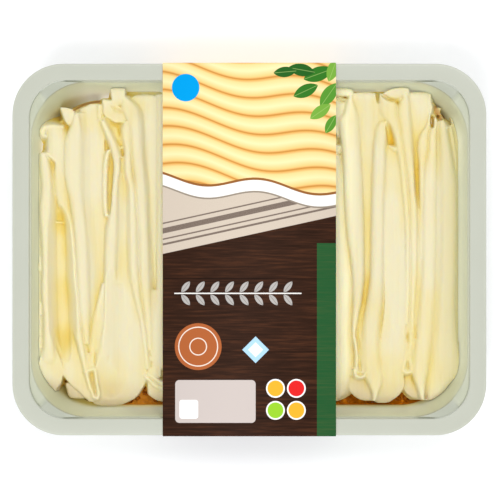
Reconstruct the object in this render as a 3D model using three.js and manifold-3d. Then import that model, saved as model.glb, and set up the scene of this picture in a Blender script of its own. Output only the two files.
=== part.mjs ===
// A shepherd's pie ready meal: a flanged plastic tray with rounded corners, a layer of mince in
// gravy, a topping of mash piped in long folded ribbons, a sealed clear film lid, and a printed
// card sleeve round the middle.
//
// Millimetres. X runs along the tray, Y across it (the way the ribbons are piped), Z is up.
// The origin is under the middle of the pack, on the plane that it stands on.

import * as THREE from 'three';
import { mergeVertices } from 'three/addons/utils/BufferGeometryUtils.js';
import Module from 'manifold-3d';

const wasm = await Module();
wasm.setup();

// ---------------------------------------------------------------- driving dimensions

const TRAY_LENGTH = 227;
const TRAY_WIDTH = 178;
const TRAY_DEPTH = 38;
const FLANGE_WIDTH = 7.8;
const FLANGE_THICKNESS = 1.0;
const FLANGE_CORNER = 24.4;
const RIM_CORNER = 18.2;
const WALL = 0.8;
const WALL_CORNER = 27;
const WALL_DRAFT = 12 * Math.PI / 180;
const LEDGE_DEPTH = 2.5;
const LEDGE_RISER = 0.4;
const LEDGE_STEP = 0.6;
const FOOT_FILLET = 6;

const BOARD = 0.4;
const SLEEVE_WIDTH = 83;
const SLEEVE_BASE = 151;
const SLEEVE_FOLD = 1.0;
const SLEEVE_DROP = 2.4;

const FILM = 0.2;
const FILM_INSET = 1.0;

const SLACK = 0.1;
const FOOD_GAP = 0.3;
const MINCE_DEPTH = 13.3;
const MINCE_LUMP = 2.2;
const MINCE_SHOULDER = 14;
const FACET = 0.08;

const CROWN = 3.4;
const BED_TOP = 22.5;
const CROWN_STEPS = 5;
const RIBBON_STRIDE = 17;
const RIBBON_END_DROP = 2.6;
const RIBBON_SPREAD = 0.5;

// Heights that follow from them.
const TRAY_FOOT = BOARD + SLACK;
const FLOOR = TRAY_FOOT + WALL;
const RIM = TRAY_FOOT + TRAY_DEPTH;
const LEDGE = RIM - LEDGE_DEPTH;
const MINCE_TOP = FLOOR + FOOD_GAP + MINCE_DEPTH;
const MASH_FOOT = MINCE_TOP + SLACK;
const FILM_FOOT = RIM + SLACK;
const SLEEVE_CEILING = FILM_FOOT + FILM + SLACK;
const SLEEVE_TOP = SLEEVE_CEILING + BOARD;

// ---------------------------------------------------------------- loops and lofts

// One level loop, counter-clockwise from above: a rectangle of half sizes hx and hy with round
// corners, split into cornerSteps round each corner and sideSteps along each straight.
function roundedLoop(hx, hy, radius, z, cornerSteps, sideSteps) {
  const loop = [];
  const centres = [
    [hx - radius, hy - radius],
    [radius - hx, hy - radius],
    [radius - hx, radius - hy],
    [hx - radius, radius - hy],
  ];
  centres.forEach(([cx, cy], corner) => {
    for (let i = 0; i <= cornerSteps; i += 1) {
      const angle = (corner + i / cornerSteps) * Math.PI / 2;
      loop.push(new THREE.Vector3(cx + radius * Math.cos(angle), cy + radius * Math.sin(angle), z));
    }
    const from = loop[loop.length - 1];
    const [nx, ny] = centres[(corner + 1) % 4];
    const turn = (corner + 1) * Math.PI / 2;
    const to = new THREE.Vector3(nx + radius * Math.cos(turn), ny + radius * Math.sin(turn), z);
    for (let i = 1; i < sideSteps; i += 1) {
      loop.push(from.clone().lerp(to, i / sideSteps));
    }
  });
  return loop;
}

// A closed skin through loops of equal length, with a fan of triangles over each end.
function loft(loops) {
  const count = loops[0].length;
  const points = loops.flat();
  const index = [];
  const middle = (loop) => loop.reduce((sum, p) => sum.add(p), new THREE.Vector3()).divideScalar(count);
  const first = points.push(middle(loops[0])) - 1;
  const last = points.push(middle(loops[loops.length - 1])) - 1;
  const top = (loops.length - 1) * count;
  for (let i = 0; i < count; i += 1) {
    const next = (i + 1) % count;
    for (let row = 0; row < loops.length - 1; row += 1) {
      const a = row * count + i;
      const b = row * count + next;
      index.push(a, b, b + count, a, b + count, a + count);
    }
    index.push(first, next, i);
    index.push(last, top + i, top + next);
  }
  const geometry = new THREE.BufferGeometry().setFromPoints(points);
  geometry.setIndex(index);
  return geometry;
}

// ---------------------------------------------------------------- solids that are joined and cut

function toSolid(geometry) {
  const bare = geometry.clone();
  bare.deleteAttribute('normal');
  bare.deleteAttribute('uv');
  const merged = mergeVertices(bare, 1e-4);
  return new wasm.Manifold(new wasm.Mesh({
    numProp: 3,
    vertProperties: new Float32Array(merged.attributes.position.array),
    triVerts: new Uint32Array(merged.index.array),
  }));
}

// The largest shell of a solid, without the small hollows sealed inside it and without scraps.
function mainBody(solid) {
  const shells = solid.decompose();
  return shells.reduce((best, shell) => (shell.volume() > best.volume() ? shell : best));
}

function toGeometry(solid) {
  const mesh = solid.getMesh();
  const geometry = new THREE.BufferGeometry();
  geometry.setAttribute('position', new THREE.BufferAttribute(new Float32Array(mesh.vertProperties), 3));
  geometry.setIndex(new THREE.BufferAttribute(new Uint32Array(mesh.triVerts), 1));
  return geometry;
}

// ---------------------------------------------------------------- tray

// How far the inside of the wall has come in from the rim's inner edge at a height.
const wallInset = (z) => LEDGE_RISER + LEDGE_STEP + (LEDGE - z) * Math.tan(WALL_DRAFT);
const RIM_X = TRAY_LENGTH / 2 - FLANGE_WIDTH;
const RIM_Y = TRAY_WIDTH / 2 - FLANGE_WIDTH;

// A loop on the inside of the wall, moved inwards by gap, with the round foot of the wall.
function wallLoop(z, gap, cornerSteps, sideSteps, tuck = 0) {
  const inset = wallInset(z) + gap + tuck;
  return roundedLoop(RIM_X - inset, RIM_Y - inset, WALL_CORNER - gap - tuck, z, cornerSteps, sideSteps);
}

// The loops of the wall's round foot and the wall up to a height. The foot is a quarter turn.
function footLoops(floor, gap, radius, cornerSteps, sideSteps) {
  const turns = 3;
  return Array.from({ length: turns + 1 }, (_, i) => {
    const angle = (i / turns) * Math.PI / 2;
    const z = floor + radius * (1 - Math.cos(angle));
    return wallLoop(z, gap, cornerSteps, sideSteps, radius * (1 - Math.sin(angle)));
  });
}

function trayGeometry() {
  const corner = 7;
  const side = 1;
  const rimLoop = (out, radius, z) => roundedLoop(RIM_X + out, RIM_Y + out, radius, z, corner, side);
  const under = LEDGE - FLANGE_THICKNESS;
  const outside = [
    ...footLoops(TRAY_FOOT, -WALL, FOOT_FILLET + WALL, corner, side),
    wallLoop(under, -WALL, corner, side),
    rimLoop(WALL - LEDGE_RISER, RIM_CORNER + WALL, under),
    rimLoop(WALL, RIM_CORNER + WALL, RIM - FLANGE_THICKNESS),
    rimLoop(FLANGE_WIDTH, FLANGE_CORNER, RIM - FLANGE_THICKNESS),
  ];
  const inside = [
    ...footLoops(FLOOR, 0, FOOT_FILLET, corner, side),
    wallLoop(LEDGE, 0, corner, side),
    rimLoop(-LEDGE_RISER, RIM_CORNER, LEDGE),
    rimLoop(0, RIM_CORNER, RIM),
    rimLoop(FLANGE_WIDTH, FLANGE_CORNER, RIM),
  ];
  return loft([...outside, ...inside.reverse()]);
}

// ---------------------------------------------------------------- film lid and card sleeve

function filmGeometry() {
  const reach = FLANGE_WIDTH - FILM_INSET;
  const outline = (z) => roundedLoop(RIM_X + reach, RIM_Y + reach, FLANGE_CORNER - FILM_INSET, z, 7, 1);
  return loft([outline(FILM_FOOT), outline(FILM_FOOT + FILM)]);
}

// The sleeve's section across the tray: flat over the lid, folded down past the flange, leaning in
// to the foot of the tray, and flat under it. shrink moves the outline in by the board's thickness.
function sleeveOutline(shrink) {
  const half = TRAY_WIDTH / 2 + SLACK + BOARD - shrink;
  const top = SLEEVE_TOP - shrink;
  const foot = shrink;
  const base = SLEEVE_BASE / 2 - shrink;
  const bend = SLEEVE_TOP - SLEEVE_DROP;
  const fold = SLEEVE_FOLD - shrink;
  const path = new THREE.Shape();
  path.moveTo(-base, foot);
  path.lineTo(base, foot);
  path.lineTo(half, bend);
  path.lineTo(half, top - fold);
  path.absarc(half - fold, top - fold, fold, 0, Math.PI / 2, false);
  path.lineTo(fold - half, top);
  path.absarc(fold - half, top - fold, fold, Math.PI / 2, Math.PI, false);
  path.lineTo(-half, bend);
  path.closePath();
  return path;
}

function sleeveGeometry() {
  const board = sleeveOutline(0);
  board.holes.push(sleeveOutline(BOARD));
  const geometry = new THREE.ExtrudeGeometry(board, {
    depth: SLEEVE_WIDTH,
    bevelEnabled: false,
    curveSegments: 4,
  });
  const alongTray = new THREE.Matrix4().makeBasis(
    new THREE.Vector3(0, 1, 0),
    new THREE.Vector3(0, 0, 1),
    new THREE.Vector3(1, 0, 0),
  );
  geometry.applyMatrix4(alongTray);
  geometry.translate(-SLEEVE_WIDTH / 2, 0, 0);
  return geometry;
}

// ---------------------------------------------------------------- mince in gravy

// A repeatable number from 0 to 1 for lump number n.
const scatter = (n) => {
  const wave = Math.sin(n * 12.9898) * 43758.5453;
  return wave - Math.floor(wave);
};

// The mince fills the foot of the tray. Its top is level under the mash and lumpy near the wall,
// where it shows: each shoulder loop dips by a different amount at each point.
function minceGeometry() {
  const corner = 6;
  const side = 13;
  const shoulders = 4;
  const loops = footLoops(FLOOR + FOOD_GAP, FOOD_GAP, FOOT_FILLET, corner, side);
  for (let row = 0; row <= shoulders; row += 1) {
    const tuck = MINCE_SHOULDER * row / shoulders;
    const loop = wallLoop(MINCE_TOP - MINCE_LUMP, FOOD_GAP, corner, side, tuck);
    const dip = row === shoulders ? 0 : MINCE_LUMP;
    loop.forEach((point, i) => {
      point.z = MINCE_TOP - dip * scatter(i + 100 * row);
    });
    loops.push(loop);
  }
  return loft(loops);
}

// ---------------------------------------------------------------- mash

// A value read off a short list of evenly spaced ones, with a smooth curve through them.
function along(values, t) {
  const place = t * (values.length - 1);
  const i = Math.min(Math.floor(place), values.length - 2);
  const f = place - i;
  const before = values[Math.max(i - 1, 0)];
  const after = values[Math.min(i + 2, values.length - 1)];
  const slopeA = (values[i + 1] - before) / 2;
  const slopeB = (after - values[i]) / 2;
  const rise = values[i + 1] - values[i];
  return values[i] + f * (slopeA + f * (3 * rise - 2 * slopeA - slopeB + f * (slopeA + slopeB - 2 * rise)));
}

// The section of a ribbon at one place: a flattened round crown between its edges, and sides that
// go down to the foot of the mash.
function ribbonLoop(y, left, right, crest) {
  const middle = (left + right) / 2;
  const half = (right - left) / 2;
  const crown = Math.min(CROWN, half * 0.9);
  const flatten = (value) => Math.sign(value) * Math.abs(value) ** 0.75;
  const foot = MASH_FOOT - 1;
  const loop = [
    new THREE.Vector3(middle - half * 0.85, y, foot),
    new THREE.Vector3(middle + half * 0.85, y, foot),
  ];
  for (let i = 0; i <= CROWN_STEPS; i += 1) {
    const angle = Math.PI * i / CROWN_STEPS;
    const lift = flatten(Math.sin(angle));
    loop.push(new THREE.Vector3(middle + half * flatten(Math.cos(angle)), y, crest - crown * (1 - lift)));
  }
  return loop;
}

// A piped ribbon: it runs from one place across the tray to another, and its two edges and the
// height of its crest are short lists read evenly along it. Both ends are round and drop off.
const END_ROUND = [
  { back: 0, pinch: 0.31, drop: 1 },
  { back: 0.16, pinch: 0.1, drop: 0.4 },
  { back: 0.5, pinch: 0, drop: 0 },
];

function ribbon({ from, to, left, right, crest }) {
  const length = Math.abs(to - from);
  const inner = Math.max(1, Math.round(length / RIBBON_STRIDE));
  const round = (width) => END_ROUND.map(({ back, pinch, drop }) => (
    { t: Math.min(back * width / length, 0.4 * back + 0.2), pinch, drop }
  ));
  const start = round(right[0] - left[0]);
  const finish = round(right[right.length - 1] - left[left.length - 1]);
  const stops = [...start];
  const first = start[start.length - 1].t;
  const span = 1 - finish[finish.length - 1].t - first;
  for (let i = 1; i < inner; i += 1) {
    stops.push({ t: first + span * i / inner, pinch: 0, drop: 0 });
  }
  finish.reverse().forEach((stop) => stops.push({ ...stop, t: 1 - stop.t }));
  const loops = stops.map(({ t, pinch, drop }) => {
    const a = along(left, t) - RIBBON_SPREAD;
    const b = along(right, t) + RIBBON_SPREAD;
    const squeeze = (b - a) * pinch;
    const height = along(crest, t) - drop * RIBBON_END_DROP;
    return ribbonLoop(from + (to - from) * t, a + squeeze, b - squeeze, height);
  });
  return toSolid(loft(loops));
}

// The ribbons that show at the left end of the tray, from the wall towards the sleeve.
const LEFT_RIBBONS = [
  { from: 47, to: -54, left: [-100.5, -100, -99.5, -99.5, -100.5], right: [-96, -95, -94, -92.5, -91], crest: [27, 28.5, 27] },
  { from: -46, to: -68, left: [-99, -101, -101, -98], right: [-92, -91, -91, -92], crest: [27.5, 26, 23.5] },
  { from: 58.5, to: -60.5, left: [-98.5, -93.5, -88, -86, -83], right: [-88.5, -87.5, -83, -81, -77], crest: [27.5, 28, 27] },
  { from: 66, to: -48.5, left: [-87.5, -88.5, -84, -82, -78.5], right: [-82.5, -80.5, -78, -76.5, -76], crest: [27.5, 29.5, 29.5, 27] },
  { from: 70.5, to: -34, left: [-82, -81.5, -80, -78, -76.5], right: [-73, -68, -68.5, -68.5, -72], crest: [24, 25, 23] },
  { from: 78, to: 70, left: [-66.5, -65.5], right: [-60, -60.5], crest: [28, 29] },
  { from: 73, to: 63, left: [-70.5, -71.5], right: [-64, -60], crest: [27.5, 28.5] },
  { from: 63, to: 13, left: [-72, -68.5, -65.5, -67, -68.5], right: [-70, -65.5, -62, -63, -63], crest: [28, 29.5] },
  { from: 16.5, to: -71.5, left: [-68, -69.5, -70, -73, -76], right: [-63, -63.5, -64, -66, -71], crest: [29.5, 29.5, 28.5, 23] },
  { from: 48, to: 14.5, left: [-68, -70.5, -69], right: [-66.5, -68.5, -67.5], crest: [27.5, 27.5] },
  { from: -15.5, to: -53, left: [-71, -76, -76.5], right: [-69, -69.5, -73.5], crest: [26.5, 25.5] },
  { from: -48.5, to: -71.5, left: [-83.5, -82.5, -80.5, -76], right: [-78, -77.5, -77, -74], crest: [28, 27, 25.5, 23] },
  { from: 43, to: -76, left: [-62, -64, -64, -62.5, -69], right: [-59.5, -57, -55.5, -51, -56], crest: [24, 25.5, 26, 27.5, 21.5] },
  { from: 63, to: -59, left: [-63, -59.5, -58, -55, -50], right: [-60.5, -55.5, -53.5, -51.5, -48], crest: [28, 29.5, 27] },
  { from: 73, to: -59, left: [-61.5, -56, -53.5, -52, -49], right: [-58.5, -50.5, -48.5, -47.5, -46], crest: [27.5, 29.5, 27] },
  { from: 75, to: -20, left: [-56, -52.5, -50.5, -49], right: [-44, -43, -43, -43], crest: [25, 26.5] },
  { from: -20, to: -62, left: [-48.5, -48.5], right: [-43, -43], crest: [27.5, 27] },
  { from: 75, to: -65, left: [-44.5, -44, -46.5], right: [-40.5, -38.5, -38], crest: [27.5, 29, 27] },
  { from: -62, to: -73, left: [-49, -47.5], right: [-39, -39], crest: [25, 22.5] },
];

// The ribbons that show at the right end of the tray, from the sleeve towards the wall.
const RIGHT_RIBBONS = [
  { from: 71.5, to: -74.5, left: [39, 39.5, 40, 40, 39], right: [46.5, 48, 49, 51, 47], crest: [26.5, 27.5, 27.5, 27, 22] },
  { from: 72, to: -57, left: [46.5, 48, 48.5, 50.5, 50], right: [49.5, 54, 55, 55.5, 53], crest: [28, 29.5, 27] },
  { from: 76.5, to: -28, left: [50, 52, 53.5, 54, 54], right: [60.5, 62, 60.5, 60, 58], crest: [25.5, 25.5, 24] },
  { from: 62.5, to: -73, left: [62.5, 59, 58, 55, 59], right: [67, 66, 65, 63, 63.5], crest: [27.5, 29.5, 29.5, 28.5, 23] },
  { from: 48, to: -60, left: [65.5, 65, 62.5, 63], right: [68.5, 69, 68.5, 68.5], crest: [24.5, 26.5] },
  { from: 50, to: -75, left: [67, 67.5, 67, 65, 61.5], right: [68, 74.5, 75, 74.5, 70], crest: [26, 28, 28.5, 28.5, 22] },
  { from: 74.5, to: -36.5, left: [63, 70.5, 74, 75, 75], right: [67, 74, 77, 77, 76.5], crest: [27, 29, 27.5] },
  { from: 70.5, to: -34, left: [72, 73.5, 76.5, 77, 77], right: [76.5, 79, 81, 81, 78.5], crest: [28.5, 29, 27] },
  { from: 76, to: 48, left: [78, 78.5, 78.5], right: [86.5, 85.5, 81], crest: [26.5, 27, 24.5] },
  { from: 65, to: -10, left: [84.5, 81, 82, 81, 81], right: [86.5, 86, 84, 84, 83.5], crest: [28, 29, 28] },
  { from: 62.5, to: -73, left: [88, 83.5, 83, 81, 82.5], right: [91, 91.5, 91, 89.5, 86], crest: [27, 29.5, 29.5, 29, 23] },
  { from: 63.5, to: -73, left: [91, 91, 91, 89.5, 86], right: [93.5, 99.5, 99.5, 99.5, 92], crest: [26, 29.5, 29.5, 29, 22] },
  { from: 20, to: -48.5, left: [80, 79.5, 78.5, 77.5], right: [84, 84, 82.5, 80], crest: [27, 26.5] },
  { from: -61, to: -72.5, left: [75.5, 76.5, 79], right: [80.5, 83.5, 85], crest: [24.5, 23] },
  { from: -62, to: -73.5, left: [50, 49.5, 52], right: [57, 60, 60], crest: [24.5, 23] },
];

// The two gathered lips where a ribbon starts at the right end, each a short roll across the tray.
const LIPS = [
  { x: 45.5, y: 76, width: 7.5, reach: 4.5, crest: 28.5 },
  { x: 71, y: 76, width: 9.5, reach: 6.5, crest: 28.5 },
  { x: -97, y: 58, width: 8, reach: 5, crest: 27.5 },
];

// Under the sleeve the ribbons go on with the same width and pitch, drifting a little each.
const HIDDEN_COUNT = 8;
const HIDDEN_FROM = -35;
const HIDDEN_PITCH = 10;
const HIDDEN_WIDTH = 7.6;

function hiddenRibbons() {
  const list = [{ from: 72, to: -70, left: [-42, -42], right: [42, 42], crest: [26, 26] }];
  for (let i = 0; i < HIDDEN_COUNT; i += 1) {
    const centre = HIDDEN_FROM + HIDDEN_PITCH * i;
    const sway = [0, 0.33, 0.66, 1].map((t) => centre + 1.2 * Math.sin(2.1 * i + 4 * t));
    const half = HIDDEN_WIDTH / 2 + 0.5 * Math.sin(3.7 * i);
    list.push({
      from: 74 + 2 * Math.sin(5.3 * i),
      to: -72 + 3 * Math.sin(1.9 * i),
      left: sway.map((x) => x - half),
      right: sway.map((x) => x + half),
      crest: [27.5, 29.2, 29, 24],
    });
  }
  return list;
}

// The bed that joins the ribbons: a low slab with a round edge.
function bedSolid() {
  const loops = [
    [47.5, MASH_FOOT - 1],
    [49.5, MASH_FOOT + 2],
    [47.5, BED_TOP - 1],
    [44.5, BED_TOP],
  ];
  const halfLength = 50;
  const halfWidth = 14;
  return toSolid(loft(loops.map(([reach, z]) => (
    roundedLoop(halfLength + reach, halfWidth + reach, 18, z, 5, 1)
  ))));
}

function mashGeometry() {
  const lips = LIPS.map(({ x, y, width, reach, crest }) => ({
    from: y + reach / 2,
    to: y - reach / 2,
    left: [x - width / 2, x - width / 2],
    right: [x + width / 2, x + width / 2],
    crest: [crest, crest],
  }));
  const all = [...LEFT_RIBBONS, ...RIGHT_RIBBONS, ...hiddenRibbons(), ...lips];
  const joined = all.reduce((solid, shape) => solid.add(ribbon(shape)), bedSolid());
  const room = toSolid(loft([
    wallLoop(MASH_FOOT, FOOD_GAP, 7, 1),
    wallLoop(LEDGE, FOOD_GAP, 7, 1),
  ]));
  return toGeometry(mainBody(joined.intersect(room).simplify(FACET)));
}

// ---------------------------------------------------------------- the pack

const pack = new THREE.Group();

function addPart(name, geometry, color, roughness, options = {}) {
  const material = new THREE.MeshStandardMaterial({ color, roughness, metalness: 0, ...options });
  const mesh = new THREE.Mesh(geometry, material);
  mesh.name = name;
  pack.add(mesh);
}

addPart('tray', trayGeometry(), 0xced2c4, 0.42);
addPart('mince', minceGeometry(), 0x824703, 0.35);
addPart('mash', mashGeometry(), 0xf1e7b8, 0.6);
addPart('film_lid', filmGeometry(), 0xffffff, 0.08, { transparent: true, opacity: 0.15 });
addPart('sleeve', sleeveGeometry(), 0x3a2a20, 0.45);

export default pack;
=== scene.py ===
# %% [markdown]
# # A shepherd's pie in its pack
# A ready meal for two: mince in gravy under mashed potato that a wide flat nozzle laid down in
# long folded ribbons. It sits in a pale plastic tray with a flat flange, under a clear film, and a
# printed card sleeve runs round the middle.
#
# The solids of the pack come in first and stay fixed. Everything after this only dresses them, so
# each piece is made in the same frame: X along the tray, Y along the ribbons, Z up.

# %% Load the solids
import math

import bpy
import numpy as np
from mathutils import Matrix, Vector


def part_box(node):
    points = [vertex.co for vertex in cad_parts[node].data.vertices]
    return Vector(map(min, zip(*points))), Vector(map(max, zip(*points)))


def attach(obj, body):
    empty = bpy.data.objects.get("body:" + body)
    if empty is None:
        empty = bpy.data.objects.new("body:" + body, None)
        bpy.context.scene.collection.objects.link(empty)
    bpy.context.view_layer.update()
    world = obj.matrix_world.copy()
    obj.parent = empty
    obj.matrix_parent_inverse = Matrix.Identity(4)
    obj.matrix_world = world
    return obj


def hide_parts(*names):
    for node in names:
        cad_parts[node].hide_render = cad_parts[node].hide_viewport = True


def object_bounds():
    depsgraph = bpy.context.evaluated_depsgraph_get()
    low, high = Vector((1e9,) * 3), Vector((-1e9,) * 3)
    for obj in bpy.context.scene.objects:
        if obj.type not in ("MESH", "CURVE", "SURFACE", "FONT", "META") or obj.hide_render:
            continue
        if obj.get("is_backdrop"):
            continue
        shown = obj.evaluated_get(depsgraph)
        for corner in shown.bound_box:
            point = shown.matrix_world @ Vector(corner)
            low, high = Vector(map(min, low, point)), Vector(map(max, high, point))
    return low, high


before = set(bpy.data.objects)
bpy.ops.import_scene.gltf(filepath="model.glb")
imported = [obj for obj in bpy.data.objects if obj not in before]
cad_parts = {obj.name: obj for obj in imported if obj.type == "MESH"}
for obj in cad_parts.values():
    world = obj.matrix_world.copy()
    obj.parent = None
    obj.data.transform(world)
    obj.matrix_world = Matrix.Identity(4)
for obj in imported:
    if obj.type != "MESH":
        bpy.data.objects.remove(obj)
solid_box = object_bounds()

# %% [markdown]
# ## Sizes
# Lengths are written in millimetres, as on a drawing, and turned into Blender's metres only when a
# mesh is made. The heights are read off the solids, so the dressed pieces can't drift from them.

MM = 0.001


def box_mm(node):
    low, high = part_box(node)
    return np.array(low) / MM, np.array(high) / MM


tray_low, tray_high = box_mm("tray")
sleeve_high = box_mm("sleeve")[1]
FOOT = tray_low[2]
RIM = tray_high[2]
MINCE_TOP = box_mm("mince")[1][2]
MASH_FOOT = box_mm("mash")[0][2]
FILM_FOOT, FILM_TOP = (corner[2] for corner in box_mm("film_lid"))
print(f"rim {RIM:.1f}, mince top {MINCE_TOP:.1f}, mash from {MASH_FOOT:.1f}, film {FILM_FOOT:.1f}")

# %% [markdown]
# ## The studio
# The pack is seen from straight above with a long lens, so its sides hardly show. Two wide lights
# stand over its near and its far side, so that the sleeve throws little shade on the mash beside
# it, and a bright sky all round leaves only soft shade in the folds.

# %% Set the camera and the lights
CAMERA_DISTANCE = 1.6
PICTURE_WIDTH = 239.5
PICTURE_CENTRE = (0.31, -0.24)
SENSOR_WIDTH = 36
scene = bpy.context.scene
scene.view_settings.view_transform = "Standard"
scene.view_settings.look = "None"

camera_data = bpy.data.cameras.new("camera")
camera_data.sensor_width = SENSOR_WIDTH
camera_data.lens = SENSOR_WIDTH * CAMERA_DISTANCE / (PICTURE_WIDTH * MM)
camera = bpy.data.objects.new("camera", camera_data)
camera.location = (PICTURE_CENTRE[0] * MM, PICTURE_CENTRE[1] * MM, RIM * MM + CAMERA_DISTANCE)
scene.collection.objects.link(camera)
scene.camera = camera

SKY = 0.62
world = bpy.data.worlds.new("soft sky")
world.use_nodes = True
background = world.node_tree.nodes["Background"]
background.inputs["Color"].default_value = (1.0, 1.0, 1.0, 1.0)
background.inputs["Strength"].default_value = SKY
scene.world = world


def soft_light(name, place, size, power):
    data = bpy.data.lights.new(name, "AREA")
    data.size = size
    data.energy = power
    light = bpy.data.objects.new(name, data)
    light.location = place
    light.rotation_euler = (-light.location).to_track_quat("-Z", "Y").to_euler()
    scene.collection.objects.link(light)


soft_light("key", (-0.32, -0.8, 1.8), 0.8, 16.0)
soft_light("fill", (0.36, 0.75, 1.8), 0.8, 13.0)
print(f"lens {camera_data.lens:.0f} mm")

# %% [markdown]
# ## Writing a finish
# A finish is a web of shader nodes. Building one node by node is long, so a small class wraps one
# output of the web: arithmetic on it adds Math nodes, and `make` adds any other node from its type,
# its settings and what goes into its sockets. It serves for geometry nodes as well.


# %% A wire in a web of shader nodes
class Wire:
    def __init__(self, tree, socket=None):
        self.tree, self.socket = tree, socket

    def make(self, kind, settings=None, values=None, output=0):
        node = self.tree.nodes.new(kind)
        for name, setting in (settings or {}).items():
            if name == "stops":
                elements = node.color_ramp.elements
                while len(elements) < len(setting):
                    elements.new(1.0)
                for element, (place, colour) in zip(elements, setting):
                    element.position, element.color = place, colour
            else:
                setattr(node, name, setting)
        for place, value in (values or {}).items():
            if isinstance(value, Wire):
                self.tree.links.new(value.socket, node.inputs[place])
            else:
                node.inputs[place].default_value = value
        return Wire(self.tree, node.outputs[output])

    def maths(self, operation, *others, clamp=False):
        settings = {"operation": operation, "use_clamp": clamp}
        return self.make("ShaderNodeMath", settings, dict(enumerate((self, *others))))

    def __add__(self, other):
        return self.maths("ADD", other)

    def __sub__(self, other):
        return self.maths("SUBTRACT", other)

    def __rsub__(self, other):
        return self * -1.0 + other

    def __mul__(self, other):
        return self.maths("MULTIPLY", other)

    def __truediv__(self, other):
        return self.maths("DIVIDE", other)

    __radd__, __rmul__ = __add__, __mul__


print("a wire can", [name for name in vars(Wire) if not name.startswith("_")])

# %% [markdown]
# The same few steps come back in every finish, so each has a name: a colour as one reads it off a
# colour card, one colour over another, a coordinate, a slope between two values, a soft noise and
# small relief. Colours go through Mix, because a Math node would turn them grey.


# %% Name the steps of a finish
def ink(red, green, blue):
    """A colour as a printer or a painter would read it, from 0 to 255, made linear."""
    return tuple(
        c / 12.92 if c <= 0.04045 else ((c + 0.055) / 1.055) ** 2.4
        for c in (red / 255, green / 255, blue / 255)
    ) + (1.0,)


def new_finish(name, **sockets):
    """A material, its shader and a first wire. Socket names are written with _ for a space."""
    material = bpy.data.materials.new(name)
    material.use_nodes = True
    shader = material.node_tree.nodes["Principled BSDF"]
    for socket, value in sockets.items():
        shader.inputs[socket.replace("_", " ")].default_value = value
    return material, shader, Wire(material.node_tree)


def plug(wire, shader, socket):
    wire.tree.links.new(wire.socket, shader.inputs[socket])


def over(mask, under, top):
    """The colour top laid over under where mask is 1."""
    mix = {"data_type": "RGBA"}
    return mask.make("ShaderNodeMix", mix, {0: mask, 6: under, 7: top}, 2)


def object_place(wire):
    return wire.make("ShaderNodeTexCoord", output="Object")


def millimetres(place, axis):
    """One coordinate of a place, X, Y or Z, in millimetres."""
    output = "XYZ".index(axis)
    return place.make("ShaderNodeSeparateXYZ", values={0: place}, output=output) / MM


def carried(wire, name):
    """A value that the mesh carries at each of its points."""
    return wire.make("ShaderNodeAttribute", {"attribute_name": name}, output="Fac")


def between(value, zero_at, one_at):
    """0 up to one value, 1 from another one on, and a straight slope between them."""
    return ((value - zero_at) / (one_at - zero_at)).maths("MINIMUM", 1.0, clamp=True)


def toned(value, stops):
    """The colours that a value picks from a row of stops."""
    return value.make("ShaderNodeValToRGB", {"stops": stops}, {0: value})


def stretched(place, scale):
    return place.make("ShaderNodeMapping", values={"Vector": place, "Scale": scale})


def cloud(place, scale, detail=3.0, roughness=0.5):
    """A soft random pattern from about 0.2 to 0.8, with scale in lumps a metre."""
    values = {"Vector": place, "Scale": scale, "Detail": detail, "Roughness": roughness}
    return place.make("ShaderNodeTexNoise", values=values)


def bump(height, shader, strength, depth):
    """Small relief, depth in millimetres."""
    values = {"Strength": strength, "Distance": depth * MM, "Height": height}
    plug(height.make("ShaderNodeBump", values=values), shader, "Normal")


print("a mid grey of 128 is", round(ink(128, 128, 128)[0], 3), "of full light")

# %% [markdown]
# The floor is one plain square, far wider than the pack, nearly white and matt, so that it takes
# only the soft shade round the tray.

# %% Lay the floor
FLOOR_HALF = 3.0
floor_finish, floor_shader, floor_wire = new_finish("pale floor", Roughness=0.9)
floor_shader.inputs["Emission Color"].default_value = (1.0, 1.0, 1.0, 1.0)
floor_shader.inputs["Emission Strength"].default_value = 0.1
floor_tone = cloud(object_place(floor_wire), 3.0)
plug(over(floor_tone, ink(249, 250, 252), ink(251, 252, 254)), floor_shader, "Base Color")
floor_mesh = bpy.data.meshes.new("floor")
floor_turns = [(-1, -1), (1, -1), (1, 1), (-1, 1)]
floor_corners = [(x * FLOOR_HALF, y * FLOOR_HALF, 0) for x, y in floor_turns]
floor_mesh.from_pydata(floor_corners, [], [(0, 1, 2, 3)])
floor_mesh.materials.append(floor_finish)
floor = bpy.data.objects.new("floor", floor_mesh)
scene.collection.objects.link(floor)
floor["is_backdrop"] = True

# %% [markdown]
# ## Skins through loops
# Most pieces of a pack are a skin through a stack of closed loops: the tray is a stack of rounded
# rectangles, and a ribbon of mash is a stack of its own cross-sections. One function makes the
# skin, with a fan over each end, and turns it the right way out by the sign of its volume.


# %% Stack loops into closed skins
def skin(loops):
    """Points and faces of a closed skin through loops with equal numbers of points."""
    loops = np.asarray(loops, float)
    rows, count = loops.shape[:2]
    ends = [loops[0].mean(0), loops[-1].mean(0)]
    points = np.vstack([loops.reshape(-1, 3), ends])
    row, i = np.meshgrid(np.arange(rows - 1), np.arange(count), indexing="ij")
    a, b = row * count + i, row * count + (i + 1) % count
    quads = np.stack([a, b, b + count, a + count], -1).reshape(-1, 4)
    i = np.arange(count)
    j, last = (i + 1) % count, (rows - 1) * count
    fans = np.vstack(
        [
            np.stack([np.full(count, rows * count), j, i], -1),
            np.stack([np.full(count, rows * count + 1), last + i, last + j], -1),
        ]
    )
    triangles = np.vstack([quads[:, :3], quads[:, [0, 2, 3]], fans])
    p, q, r = (points[triangles[:, k]] for k in range(3))
    if np.einsum("ij,ij->", p, np.cross(q, r)) < 0:
        quads, fans = quads[:, ::-1], fans[:, ::-1]
    return points, quads.tolist() + fans.tolist()


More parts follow.
